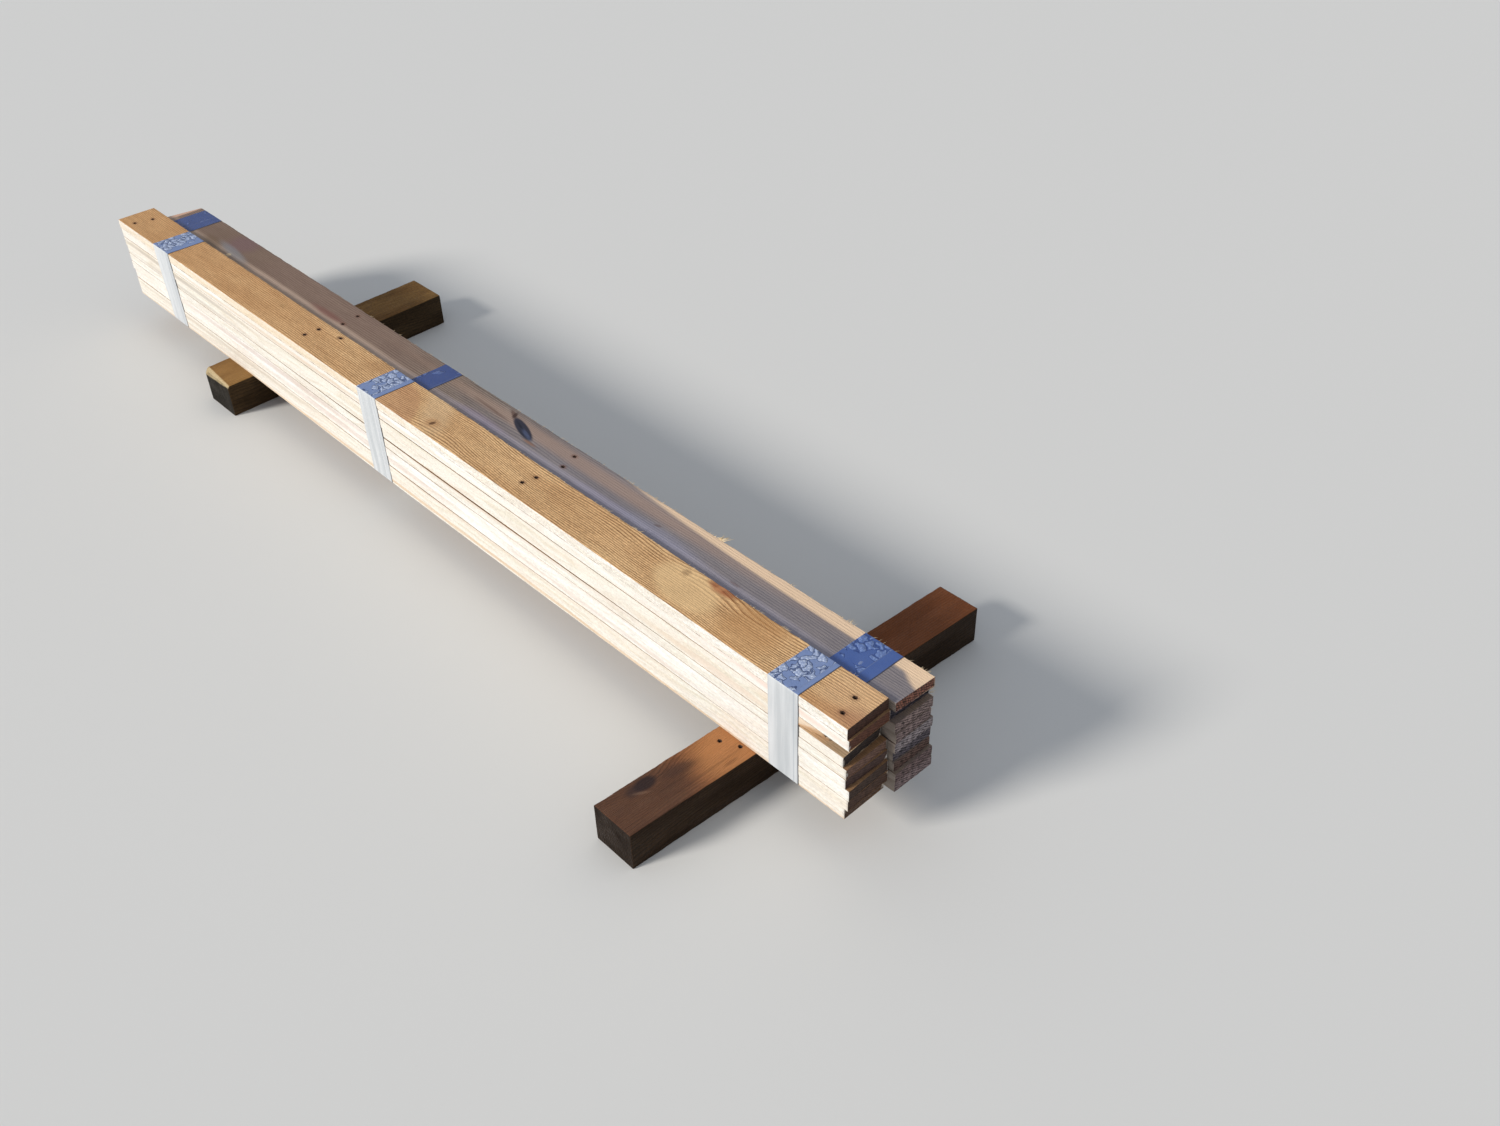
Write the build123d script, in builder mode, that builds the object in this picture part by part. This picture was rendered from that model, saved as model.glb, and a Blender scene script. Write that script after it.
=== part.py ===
from build123d import *
import os
from math import radians, tan
from typing import NamedTuple

os.makedirs("parts", exist_ok=True)

# Two taped packs of rough-sawn pine studs, side by side on two timber bearers.
# X runs along the studs to their near end, Y across them to the right, Z up.
# The origin is on the floor, under the middle of the studs' overall length and of the near bearer.

# Studs
arris_radius = 1.2
left_stud_length = 2169.0
left_stud_width = 82.0
left_stud_thickness = 19.1
right_stud_shortfall = 36.0
right_stud_width = 78.0
right_stud_thickness = 18.1
near_stagger = 9.0
pack_gap = 2.0

# Bearers
bearer_height = 68.5
bearer_arris_radius = 1.5
near_bearer_length = 700.0
near_bearer_width = 79.0
near_bearer_skew = 2.0
near_bearer_setback = 224.0
near_bearer_overhang = 227.5
far_bearer_length = 520.0
far_bearer_width = 103.0
far_bearer_skew = -2.4
far_bearer_setback = 456.0
far_bearer_overhang = 59.0
far_bearer_worn_corner = 14.0

# Tape: each loop is wound twice, and the second turn lies a little to one side of the first
tape_width = 50.0
tape_turn_thickness = 0.3
tape_corner_radius = 1.0

# Old nail holes: a driven shank, and a mouth that was torn wider when the nail was pulled
nail_shank_radius = 2.1
nail_mouth_radius = 3.4
nail_mouth_angle = 110.0
nail_rows = 4
nail_row_margin = 42.0
bearer_nail_depth = 22.0

# A waney edge, where the bark's curve runs under and across the board's left edge near its end
waney_stud = 7
wane_length = 95.0
wane_climb = 50.0
wane_width = 17.5


class Stud(NamedTuple):
    """How one stud differs from its pack, in millimetres."""

    far_short: float
    near_short: float
    far_skew: float
    near_skew: float
    inset: float
    extra_width: float
    extra_thickness: float


# One row for each stud, from the bottom one up
left_studs = [
    Stud(9.0, 7.0, 1.0, 2.0, 0.4, -1.0, 1.1),
    Stud(8.0, 1.0, -1.0, 1.5, 0.0, -0.5, 0.2),
    Stud(8.0, 0.0, 1.5, 3.0, 0.6, -1.6, 0.7),
    Stud(4.0, 5.5, 0.0, -1.0, 0.0, 0.0, -0.8),
    Stud(3.0, 6.0, 1.0, 2.0, 0.4, -0.8, -1.0),
    Stud(2.0, 12.5, -1.5, 6.0, 0.9, -2.4, -0.5),
    Stud(3.0, 12.0, 1.0, 8.0, 0.0, -0.6, 0.3),
    Stud(1.0, 2.5, 0.5, 2.0, 0.5, -0.4, -0.6),
    Stud(0.0, 5.3, 0.0, 3.0, 0.0, 0.3, 0.6),
]
right_studs = [
    Stud(3.0, 1.0, 1.0, 0.0, 0.5, -0.5, 0.4),
    Stud(6.0, 0.0, -1.0, 2.0, 0.0, 0.8, -0.3),
    Stud(2.0, 5.0, 2.0, 1.0, 1.2, -2.6, 0.5),
    Stud(7.0, 6.0, 0.0, -1.5, 0.6, -1.8, -0.2),
    Stud(4.0, 4.0, 1.5, 1.0, 0.0, 0.9, 0.6),
    Stud(1.0, 4.0, -1.0, 2.5, 1.4, -4.2, -0.4),
    Stud(5.0, 6.0, 0.5, 1.0, 0.3, 0.4, 0.2),
    Stud(3.0, 15.0, 1.0, -2.0, 1.0, -1.0, -0.5),
    Stud(0.0, 7.0, 12.0, -2.5, 3.4, -2.2, -0.3),
]


class Tape(NamedTuple):
    """One loop of tape: the share of the pack's length beyond it, and how far its second turn lies over."""

    name: str
    share: float
    turn_shift: float


left_tapes = [Tape("far", 0.0788, 13.0), Tape("middle", 0.4477, 12.0), Tape("near", 0.929, 9.0)]
right_tapes = [Tape("far", 0.0139, 27.0), Tape("middle", 0.4514, 4.0), Tape("near", 0.9372, 21.0)]


class Nail(NamedTuple):
    """One nail hole: its row, and its place from that row's line and from the board's middle."""

    row: int
    along: float
    across: float


left_nails = [
    Nail(0, 12.0, 13.0),
    Nail(0, 3.0, -23.0),
    Nail(1, 5.0, 17.5),
    Nail(1, 4.0, -11.5),
    Nail(1, 65.0, 29.0),
    Nail(2, -8.0, 15.5),
    Nail(2, -13.0, -8.5),
    Nail(3, 2.0, 9.5),
    Nail(3, 10.0, -22.5),
]
right_nails = [
    Nail(0, -4.0, -13.0),
    Nail(0, -1.0, 12.0),
    Nail(1, -35.0, 19.5),
    Nail(1, -29.0, -16.5),
    Nail(2, -44.0, 19.0),
    Nail(2, -34.0, -12.5),
]
bearer_nails = [(-20.0, 207.5), (9.0, 221.0)]

# Sizes worked out from those above
overall_length = left_stud_length + near_stagger
far_plane = -overall_length / 2
near_plane = overall_length / 2
right_stud_length = left_stud_length - right_stud_shortfall
right_far_plane = near_plane - right_stud_length
bearer_left_end = -near_bearer_length / 2
left_face = bearer_left_end + near_bearer_overhang
left_pack_width = left_stud_width + max(stud.inset + stud.extra_width for stud in left_studs)
right_pack_width = right_stud_width + max(stud.inset + stud.extra_width for stud in right_studs)
right_face = left_face + left_pack_width + pack_gap


def save(part, name):
    """Labels a finished piece and writes it under its own name."""
    part.label = name
    export_step(part, f"parts/{name}.step")


def wane_plane(near_end, left, bottom, top):
    """Gives the steep plane that a waney edge leaves, from two points on the side and one at the near end."""
    start = Vector(near_end - wane_length, left, bottom)
    on_top = Vector(start.X + wane_climb, left, top)
    on_end = Vector(near_end, left + wane_width, bottom)
    return Plane(origin=start, z_dir=(on_end - start).cross(on_top - start))


def make_stud(stud, far, length, left, width, bottom, thickness, nails, waney):
    """Makes one stud in its place and returns it."""
    far_end = far + stud.far_short
    near_end = far + length - stud.near_short
    left_edge = left + stud.inset
    right_edge = left_edge + width
    middle = (left_edge + right_edge) / 2
    top = bottom + thickness
    row_pitch = (length - 2 * nail_row_margin) / (nail_rows - 1)
    far_left = far_end + max(-stud.far_skew, 0)
    far_right = far_end + max(stud.far_skew, 0)
    near_left = near_end - max(-stud.near_skew, 0)
    near_right = near_end - max(stud.near_skew, 0)
    with BuildPart() as board:
        with BuildSketch(Plane.XY.offset(bottom)):
            with BuildLine():
                Polyline(
                    (far_left, left_edge),
                    (near_left, left_edge),
                    (near_right, right_edge),
                    (far_right, right_edge),
                    close=True,
                )
            make_face()
        extrude(amount=thickness)
        fillet(board.edges().filter_by(Axis.X), radius=arris_radius)
        if waney:
            split(bisect_by=wane_plane(near_left, left_edge, bottom, top), keep=Keep.BOTTOM)
        for nail in nails:
            row_line = far + nail_row_margin + nail.row * row_pitch
            with Locations((row_line + nail.along, middle + nail.across, top)):
                CounterSinkHole(nail_shank_radius, nail_mouth_radius, thickness, nail_mouth_angle)
    return board.part


def make_pack(side, studs, far, length, left, width, thickness, nails, waney_stud):
    """Makes a pack's studs from the bearers up, with nail holes in the top one, and returns its height."""
    bottom = bearer_height
    for number, stud in enumerate(studs, start=1):
        is_top = number == len(studs)
        stud_thickness = thickness + stud.extra_thickness
        board = make_stud(
            stud,
            far,
            length,
            left,
            width + stud.extra_width,
            bottom,
            stud_thickness,
            nails if is_top else [],
            number == waney_stud,
        )
        save(board, f"{side}_stud_{number}")
        bottom += stud_thickness
    return bottom


def make_tape(side, tape, far, length, left, width, top):
    """Makes one loop of tape around a pack, as a thin band with its second turn standing proud."""
    height = top - bearer_height
    centre = (left + width / 2, bearer_height + height / 2)
    first_edge = far + tape.share * length
    turns = [
        (first_edge, tape_width + tape.turn_shift, 1),
        (first_edge + tape.turn_shift, tape_width - tape.turn_shift, 2),
    ]
    with BuildPart() as loop:
        for start, band, layers in turns:
            build_up = layers * tape_turn_thickness
            with BuildSketch(Plane.YZ.offset(start)):
                with Locations(centre):
                    RectangleRounded(width + 2 * build_up, height + 2 * build_up, tape_corner_radius + build_up)
                    RectangleRounded(width, height, tape_corner_radius, mode=Mode.SUBTRACT)
            extrude(amount=band)
    save(loop.part, f"{side}_tape_{tape.name}")


left_top = make_pack("left", left_studs, far_plane, left_stud_length, left_face, left_stud_width,
                     left_stud_thickness, left_nails, waney_stud)
right_top = make_pack("right", right_studs, right_far_plane, right_stud_length, right_face, right_stud_width,
                      right_stud_thickness, right_nails, 0)
for tape in left_tapes:
    make_tape("left", tape, far_plane, left_stud_length, left_face, left_pack_width, left_top)
for tape in right_tapes:
    make_tape("right", tape, right_far_plane, right_stud_length, right_face, right_pack_width, right_top)

# The near bearer: a square-edged timber that crosses under both packs a little out of square
near_bearer_x = near_plane - near_bearer_setback
near_bearer_drift = tan(radians(near_bearer_skew)) * near_bearer_length / 2
with BuildPart() as near_bearer:
    with BuildSketch():
        with BuildLine():
            Polyline(
                (near_bearer_x - near_bearer_width / 2 - near_bearer_drift, bearer_left_end),
                (near_bearer_x + near_bearer_width / 2 - near_bearer_drift, bearer_left_end),
                (near_bearer_x + near_bearer_width / 2 + near_bearer_drift, -bearer_left_end),
                (near_bearer_x - near_bearer_width / 2 + near_bearer_drift, -bearer_left_end),
                close=True,
            )
        make_face()
    extrude(amount=bearer_height)
    fillet(near_bearer.edges().filter_by(Plane.XY), radius=bearer_arris_radius)
    for along, from_left in bearer_nails:
        with Locations((near_bearer_x + along, bearer_left_end + from_left, bearer_height)):
            CounterSinkHole(nail_shank_radius, nail_mouth_radius, bearer_nail_depth, nail_mouth_angle)
save(near_bearer.part, "near_bearer")

# The far bearer: a wider and shorter timber with one corner of its left end worn round
far_bearer_x = far_plane + far_bearer_setback
far_bearer_drift = tan(radians(far_bearer_skew)) * far_bearer_length / 2
far_bearer_left_end = left_face - far_bearer_overhang
far_bearer_right_end = far_bearer_left_end + far_bearer_length
with BuildPart() as far_bearer:
    with BuildSketch():
        with BuildLine():
            Polyline(
                (far_bearer_x - far_bearer_width / 2 - far_bearer_drift, far_bearer_left_end),
                (far_bearer_x + far_bearer_width / 2 - far_bearer_drift, far_bearer_left_end),
                (far_bearer_x + far_bearer_width / 2 + far_bearer_drift, far_bearer_right_end),
                (far_bearer_x - far_bearer_width / 2 + far_bearer_drift, far_bearer_right_end),
                close=True,
            )
        make_face()
    extrude(amount=bearer_height)
    worn_edge = far_bearer.edges().filter_by(Axis.Z).group_by(Axis.Y)[0].sort_by(Axis.X)[0]
    fillet(worn_edge, radius=far_bearer_worn_corner)
    fillet(far_bearer.edges().filter_by(Plane.XY), radius=bearer_arris_radius)
save(far_bearer.part, "far_bearer")
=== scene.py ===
import math

import bpy
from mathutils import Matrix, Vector


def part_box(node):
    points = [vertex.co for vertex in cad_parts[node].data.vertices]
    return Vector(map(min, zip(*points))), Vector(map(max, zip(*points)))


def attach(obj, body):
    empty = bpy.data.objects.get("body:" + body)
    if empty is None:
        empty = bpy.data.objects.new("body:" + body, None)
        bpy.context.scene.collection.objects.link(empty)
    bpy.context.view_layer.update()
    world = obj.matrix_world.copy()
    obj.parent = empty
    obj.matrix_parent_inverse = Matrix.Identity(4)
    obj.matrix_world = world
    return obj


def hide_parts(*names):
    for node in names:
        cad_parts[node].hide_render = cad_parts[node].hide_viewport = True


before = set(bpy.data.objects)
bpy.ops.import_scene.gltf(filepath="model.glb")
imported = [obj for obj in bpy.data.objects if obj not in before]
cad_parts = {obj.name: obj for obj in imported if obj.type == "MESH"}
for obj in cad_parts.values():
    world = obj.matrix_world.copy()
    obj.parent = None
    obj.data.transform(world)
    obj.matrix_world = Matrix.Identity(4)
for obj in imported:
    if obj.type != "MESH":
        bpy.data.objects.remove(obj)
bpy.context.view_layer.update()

bl_info = {
    "name": "Bundle of pine studs",
    "version": (1, 0, 0),
    "blender": (4, 5, 0),
    "location": "3D View > Sidebar > Timber",
    "description": "Two taped packs of rough-sawn pine studs on two timber bearers",
    "category": "Object",
}

# Kinds of node that both the shapes and the materials use
MATH = "ShaderNodeMath"
VECTOR = "ShaderNodeVectorMath"
RANGE = "ShaderNodeMapRange"
NOISE = "ShaderNodeTexNoise"
MIX = "ShaderNodeMix"
JOIN = "ShaderNodeCombineXYZ"
PART = "ShaderNodeSeparateXYZ"

# Settings of the nodes that calculate
PLUS, MINUS, TIMES, OVER, TIMES_PLUS, LARGER, SMALLER, SIZE, SINE, POWER, SCALED, LENGTH = (
    {"operation": name} for name in (
        "ADD", "SUBTRACT", "MULTIPLY", "DIVIDE", "MULTIPLY_ADD", "MAXIMUM", "MINIMUM", "ABSOLUTE", "SINE",
        "POWER", "SCALE", "LENGTH"))
SMOOTH = {"interpolation_type": "SMOOTHSTEP"}
COLOURS = {"data_type": "RGBA"}
VECTORS = {"data_type": "VECTOR"}


def linear(code):
    """Turns an sRGB hex colour into linear red, green and blue."""
    channels = (int(code[k:k + 2], 16) / 255 for k in (1, 3, 5))
    return tuple(c / 12.92 if c <= 0.04045 else ((c + 0.055) / 1.055) ** 2.4 for c in channels)


def add(tree, kind, settings=None, inputs=None):
    """Adds a node with its settings, and links or sets its inputs, as a list in order or by name."""
    node = tree.nodes.new(kind)
    for name, value in (settings or {}).items():
        setattr(node, name, value)
    if isinstance(inputs, list):
        inputs = dict(enumerate(inputs))
    for key, value in (inputs or {}).items():
        socket = node.inputs[key]
        if isinstance(value, bpy.types.Node):
            value = value.outputs[0]
        if isinstance(value, bpy.types.NodeSocket):
            tree.links.new(value, socket)
        else:
            socket.default_value = value
    return node


def chain(tree, value, *steps):
    """Adds nodes one after another: each takes the last in its first socket, then its own further inputs."""
    for kind, settings, *further in steps:
        value = add(tree, kind, settings, [value, *further])
    return value


def stretched_noise(tree, place, waves, detail, distortion=0.0):
    """Noise with its own number of waves to a unit along each axis."""
    stretched = add(tree, VECTOR, TIMES, [place, waves])
    return add(tree, NOISE, None, {
        "Vector": stretched, "Scale": 1.0, "Detail": detail, "Distortion": distortion})


def new_tree(kind, name, wanted, made):
    """Starts a node group with named inputs and outputs, and returns it with its input sockets."""
    tree = bpy.data.node_groups.new(name, kind)
    for label, socket_kind, default in wanted:
        socket = tree.interface.new_socket(label, in_out="INPUT", socket_type="NodeSocket" + socket_kind)
        if default is not None:
            socket.default_value = default
    for label, socket_kind in made:
        tree.interface.new_socket(label, in_out="OUTPUT", socket_type="NodeSocket" + socket_kind)
    return tree, tree.nodes.new("NodeGroupInput").outputs


def end_tree(tree, geometry, material):
    """Ends a tree in Realize Instances and Set Material."""
    real = add(tree, "GeometryNodeRealizeInstances", None, [geometry])
    named = add(tree, "GeometryNodeSetMaterial", None, {"Geometry": real, "Material": material})
    add(tree, "NodeGroupOutput", None, [named])


def grow(name, tree, values):
    """Runs a tree on an empty object and keeps the result as a plain mesh."""
    piece = bpy.data.objects.new(name, bpy.data.meshes.new(name))
    bpy.context.scene.collection.objects.link(piece)
    modifier = piece.modifiers.new("make", "NODES")
    modifier.node_group = tree
    for item in tree.interface.items_tree:
        if item.in_out == "INPUT" and item.name in values:
            modifier[item.identifier] = values[item.name]
    ready = piece.evaluated_get(bpy.context.evaluated_depsgraph_get())
    mesh = bpy.data.meshes.new_from_object(ready)
    piece.modifiers.remove(modifier)
    piece.data = mesh
    mesh.name = name
    return piece


# Sizes and colours


class TimberSizes(bpy.types.PropertyGroup):
    """Sizes of the sawn surfaces."""

    arris: bpy.props.FloatProperty(
        name="Arris radius", description="How far the long edges are worn round",
        default=0.0006, unit="LENGTH")
    ripple: bpy.props.FloatProperty(
        name="Saw ripple", description="Depth of the waves that the band saw leaves",
        default=0.00028, unit="LENGTH")
    ripple_pitch: bpy.props.FloatProperty(
        name="Ripple pitch", description="Distance from one saw wave to the next",
        default=0.0085, unit="LENGTH")
    ragged: bpy.props.FloatProperty(
        name="Ragged arris", description="Most that a bruised edge loses", default=0.0012, unit="LENGTH")
    fuzz: bpy.props.FloatProperty(
        name="Fuzz", description="Depth of the torn fibres on a sawn face", default=0.00022, unit="LENGTH")
    end_tear: bpy.props.FloatProperty(
        name="End tear", description="Depth of the torn grain on a sawn end", default=0.0018, unit="LENGTH")
    nail_shank: bpy.props.FloatProperty(
        name="Nail shank", description="Radius of the old nail holes", default=0.0021, unit="LENGTH")


class TapeSizes(bpy.types.PropertyGroup):
    """Sizes of the duct tape."""

    turn: bpy.props.FloatProperty(
        name="Turn thickness", description="Thickness of one turn", default=0.00016, unit="LENGTH")
    wall: bpy.props.FloatProperty(
        name="Wall", description="Thickness of the loop with its creases", default=0.0006, unit="LENGTH")
    width: bpy.props.FloatProperty(
        name="Width", description="Width of the roll", default=0.05, unit="LENGTH")
    crease: bpy.props.FloatProperty(
        name="Crease", description="Height of the long creases on the sides", default=0.0002, unit="LENGTH")
    wrinkle: bpy.props.FloatProperty(
        name="Wrinkle", description="Height of the wrinkles on the top", default=0.00015, unit="LENGTH")
    lifted: bpy.props.FloatProperty(
        name="Lifted edge", description="How far the loose edge stands off the wood",
        default=0.00028, unit="LENGTH")


class StudioSizes(bpy.types.PropertyGroup):
    """The camera and the lights."""

    place: bpy.props.FloatVectorProperty(
        name="Camera place", description="Where the camera stands", default=(1.9516, -1.0889, 1.5496),
        subtype="TRANSLATION", unit="LENGTH")
    turn: bpy.props.FloatVectorProperty(
        name="Camera turn", description="How the camera is turned",
        default=tuple(math.radians(a) for a in (51.5436, 1.1371, 46.5867)), subtype="EULER")
    lens: bpy.props.FloatProperty(
        name="Lens", description="Focal length in millimetres on a sensor 36 mm wide", default=34.33)
    key: bpy.props.FloatProperty(
        name="Key light", description="Strength of the broad even light from the left", default=3.2)
    soft: bpy.props.FloatProperty(
        name="Softness", description="How wide the key light looks from the studs",
        default=math.radians(14.0),
        subtype="ANGLE")
    room: bpy.props.FloatProperty(
        name="Room light", description="Strength of the even light all round", default=0.5)
    floor: bpy.props.FloatVectorProperty(
        name="Floor colour", description="Colour of the plain floor",
        default=linear("#DAD8D4"), subtype="COLOR")


# Shapes


def drawn_in(tree, place, inside, radius):
    """Draws a point that lies past the inner box in to a radius from it."""
    past = add(tree, VECTOR, MINUS, [place, inside])
    reach = add(tree, VECTOR, LENGTH, [past])
    reach = add(tree, MATH, LARGER, [reach.outputs["Value"], 1e-6])
    share = chain(tree, radius, (MATH, OVER, reach), (MATH, SMALLER, 1.0))
    past = add(tree, VECTOR, SCALED, {0: past, "Scale": share})
    return add(tree, VECTOR, PLUS, [inside, past])


def timber_tree():
    """A sawn timber between four plan corners: worn arrises, saw ripple, torn ends, sag and a wane."""
    tree, given = new_tree("GeometryNodeTree", "Sawn timber", [
        ("Far left", "Vector", None), ("Far right", "Vector", None), ("Near left", "Vector", None),
        ("Near right", "Vector", None), ("Thickness", "Float", 0.019), ("Cells along", "Int", 400),
        ("Cells across", "Int", 8), ("Cells up", "Int", 8), ("Arris radius", "Float", 0.0012),
        ("Worn corner", "Float", 0.0), ("Wane place", "Vector", None), ("Wane normal", "Vector", None),
        ("Sag", "Float", 0.0), ("Sag from", "Float", -0.6), ("Sag to", "Float", 0.8), ("Bow", "Float", 0.0),
        ("Ripple", "Float", 0.0), ("Ripple pitch", "Float", 0.008), ("Ragged", "Float", 0.0),
        ("Fuzz", "Float", 0.0), ("End tear", "Float", 0.0), ("Seed", "Float", 0.0),
        ("Bed relief", "Float", 1.0),
        ("Material", "Material", None),
    ], [("Geometry", "Geometry")])
    # A block of cells, with two fine cells beside each edge so that the worn arris has a shape
    length = add(tree, VECTOR, {"operation": "DISTANCE"}, [given["Far left"], given["Near left"]])
    width = add(tree, VECTOR, {"operation": "DISTANCE"}, [given["Far left"], given["Far right"]])
    sizes = [length.outputs["Value"], width.outputs["Value"], given["Thickness"]]
    counts = [given["Cells along"], given["Cells across"], given["Cells up"]]
    points = [add(tree, MATH, PLUS, [count, 1.0]) for count in counts]
    block = add(tree, "GeometryNodeMeshCube", None, {
        "Size": (1.0, 1.0, 1.0), "Vertices X": points[0], "Vertices Y": points[1], "Vertices Z": points[2]})
    parts = chain(tree, add(tree, "GeometryNodeInputPosition"), (VECTOR, PLUS, (0.5, 0.5, 0.5)), (PART, None))
    fine = add(tree, MATH, TIMES, [given["Arris radius"], 2.0])
    local = []
    for axis in range(3):
        step = add(tree, MATH, TIMES, [parts.outputs[axis], counts[axis]])
        inner = add(tree, MATH, MINUS, [counts[axis], 2.0])
        rest = add(tree, MATH, TIMES_PLUS, [fine, -2.0, sizes[axis]])
        first = add(tree, RANGE, None, [step, 0.0, 2.0, 0.0, fine])
        middle = add(tree, RANGE, None, [step, 2.0, inner, 0.0, rest])
        last = add(tree, RANGE, None, [step, inner, counts[axis], 0.0, fine])
        both = add(tree, MATH, PLUS, [first, middle])
        local.append(add(tree, MATH, PLUS, [both, last]))
    place = add(tree, JOIN, None, [local[0], local[1], local[2]])
    size = add(tree, JOIN, None, [sizes[0], sizes[1], sizes[2]])

    # Round arrises: a point past the inner box is drawn in to the radius
    radius = add(tree, JOIN, None, [given["Arris radius"]] * 3)
    far_side = add(tree, VECTOR, MINUS, [size, radius])
    inside = chain(tree, place, (VECTOR, LARGER, radius), (VECTOR, SMALLER, far_side))
    place = drawn_in(tree, place, inside, given["Arris radius"])

    # One upright corner may be worn round further
    parts = add(tree, PART, None, [place])
    worn = given["Worn corner"]
    along = add(tree, MATH, LARGER, [parts.outputs[0], worn])
    limit = add(tree, MATH, MINUS, [sizes[1], worn])
    across = add(tree, MATH, SMALLER, [parts.outputs[1], limit])
    inside = add(tree, JOIN, None, [along, across, parts.outputs[2]])
    place = drawn_in(tree, place, inside, worn)
    kept = add(tree, "GeometryNodeStoreNamedAttribute", {"data_type": "FLOAT_VECTOR", "domain": "POINT"}, {
        "Geometry": block, "Name": "on_board", "Value": place})

    # From the board's own lengths to its place between the four corners
    parts = add(tree, PART, None, [place])
    share_along = add(tree, MATH, OVER, [parts.outputs[0], sizes[0]])
    share_across = add(tree, MATH, OVER, [parts.outputs[1], sizes[1]])
    left = add(tree, MIX, VECTORS, {0: share_along, 4: given["Far left"], 5: given["Near left"]})
    right = add(tree, MIX, VECTORS, {0: share_along, 4: given["Far right"], 5: given["Near right"]})
    plan = add(tree, MIX, VECTORS, {0: share_across, 4: left.outputs[1], 5: right.outputs[1]})
    height = add(tree, JOIN, None, {2: parts.outputs[2]})
    world = add(tree, VECTOR, PLUS, [plan.outputs[1], height])

    # The wane is a plane that nothing passes
    over = chain(
        tree, world, (VECTOR, MINUS, given["Wane place"]),
        (VECTOR, {"operation": "DOT_PRODUCT"}, given["Wane normal"]))
    over = add(tree, MATH, LARGER, [over.outputs["Value"], 0.0])
    over = add(tree, VECTOR, SCALED, {0: given["Wane normal"], "Scale": over})
    world = add(tree, VECTOR, MINUS, [world, over])

    # Sag between the bearers, and a slow sideways bow
    parts = add(tree, PART, None, [world])
    wave = chain(
        tree, parts.outputs[0], (RANGE, None, given["Sag from"], given["Sag to"], 0.0, math.pi), (MATH, SINE),
        (MATH, LARGER, 0.0), (MATH, POWER, 1.6))
    sag = chain(tree, wave, (MATH, TIMES, given["Sag"]), (MATH, TIMES, -1.0))
    slow = add(tree, JOIN, None, [parts.outputs[0], given["Seed"]])
    slow = add(tree, NOISE, None, {"Vector": slow, "Scale": 2.2, "Detail": 1.0})
    slow = chain(tree, slow, (MATH, MINUS, 0.5), (MATH, TIMES, given["Bow"]))
    shift = add(tree, JOIN, None, {1: slow, 2: sag})
    world = add(tree, VECTOR, PLUS, [world, shift])
    shaped = add(tree, "GeometryNodeSetPosition", None, {"Geometry": kept, "Position": world})

    # Relief, always inwards: how near each point is to a long edge and to an end
    board = add(tree, "GeometryNodeInputNamedAttribute", {"data_type": "FLOAT_VECTOR"}, {"Name": "on_board"})
    parts = add(tree, PART, None, [board])
    edge_distance = []
    for axis in range(3):
        other = add(tree, MATH, MINUS, [sizes[axis], parts.outputs[axis]])
        edge_distance.append(add(tree, MATH, SMALLER, [parts.outputs[axis], other]))
    arris = chain(
        tree, edge_distance[1], (MATH, LARGER, edge_distance[2]), (RANGE, None, 0.0, 0.0035, 1.0, 0.0))
    end = add(tree, RANGE, None, [edge_distance[0], 0.0, 0.0004, 1.0, 0.0])
    not_end = add(tree, MATH, MINUS, [1.0, end])
    seeded = add(tree, JOIN, None, [given["Seed"], given["Seed"], given["Seed"]])
    spot = add(tree, VECTOR, PLUS, [board, seeded])

    # Saw ripple across the board, deeper in some stretches than in others
    drift = stretched_noise(tree, spot, (9.0, 9.0, 9.0), 2.0)
    drift = add(tree, MATH, TIMES, [drift, 0.03])
    phase = chain(
        tree, parts.outputs[1], (MATH, TIMES_PLUS, 0.14, parts.outputs[0]), (MATH, PLUS, drift),
        (MATH, OVER, given["Ripple pitch"]), (MATH, TIMES, 2 * math.pi))
    ripple = chain(tree, phase, (MATH, SINE), (MATH, TIMES_PLUS, 0.5, 0.5))
    stretch = stretched_noise(tree, spot, (5.0, 14.0, 14.0), 1.0)
    stretch = add(tree, RANGE, None, [stretch, 0.4, 0.65, 0.15, 1.0])
    ripple = chain(tree, ripple, (MATH, TIMES, stretch), (MATH, TIMES, given["Ripple"]))

    # Torn fibres: short along the grain, finer across it
    fibre = stretched_noise(tree, spot, (60.0, 260.0, 260.0), 3.0)
    fibre = add(tree, MATH, TIMES, [fibre, given["Fuzz"]])
    bruise = stretched_noise(tree, spot, (38.0, 60.0, 160.0), 4.0)
    bruise = chain(
        tree, bruise, (RANGE, None, 0.38, 0.75, 0.0, 1.0), (MATH, TIMES, arris),
        (MATH, TIMES, given["Ragged"]))
    sides = chain(tree, ripple, (MATH, PLUS, fibre), (MATH, PLUS, bruise), (MATH, TIMES, not_end))
    tear = stretched_noise(tree, spot, (4.0, 90.0, 320.0), 4.0)
    tear = chain(tree, tear, (MATH, TIMES, given["End tear"]), (MATH, TIMES, end))
    depth = chain(tree, sides, (MATH, PLUS, tear), (MATH, TIMES, -1.0))
    normal = add(tree, "GeometryNodeInputNormal")

    # Faces that lie on each other are pressed close, so the joints between studs stay narrow
    pressed = chain(
        tree, add(tree, PART, None, [normal]).outputs[2], (MATH, SIZE),
        (RANGE, None, 0.6, 0.95, 1.0, given["Bed relief"]))
    depth = add(tree, MATH, TIMES, [depth, pressed])
    inwards = add(tree, VECTOR, SCALED, {0: normal, "Scale": depth})
    carved = add(tree, "GeometryNodeSetPosition", None, {"Geometry": shaped, "Offset": inwards})

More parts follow.
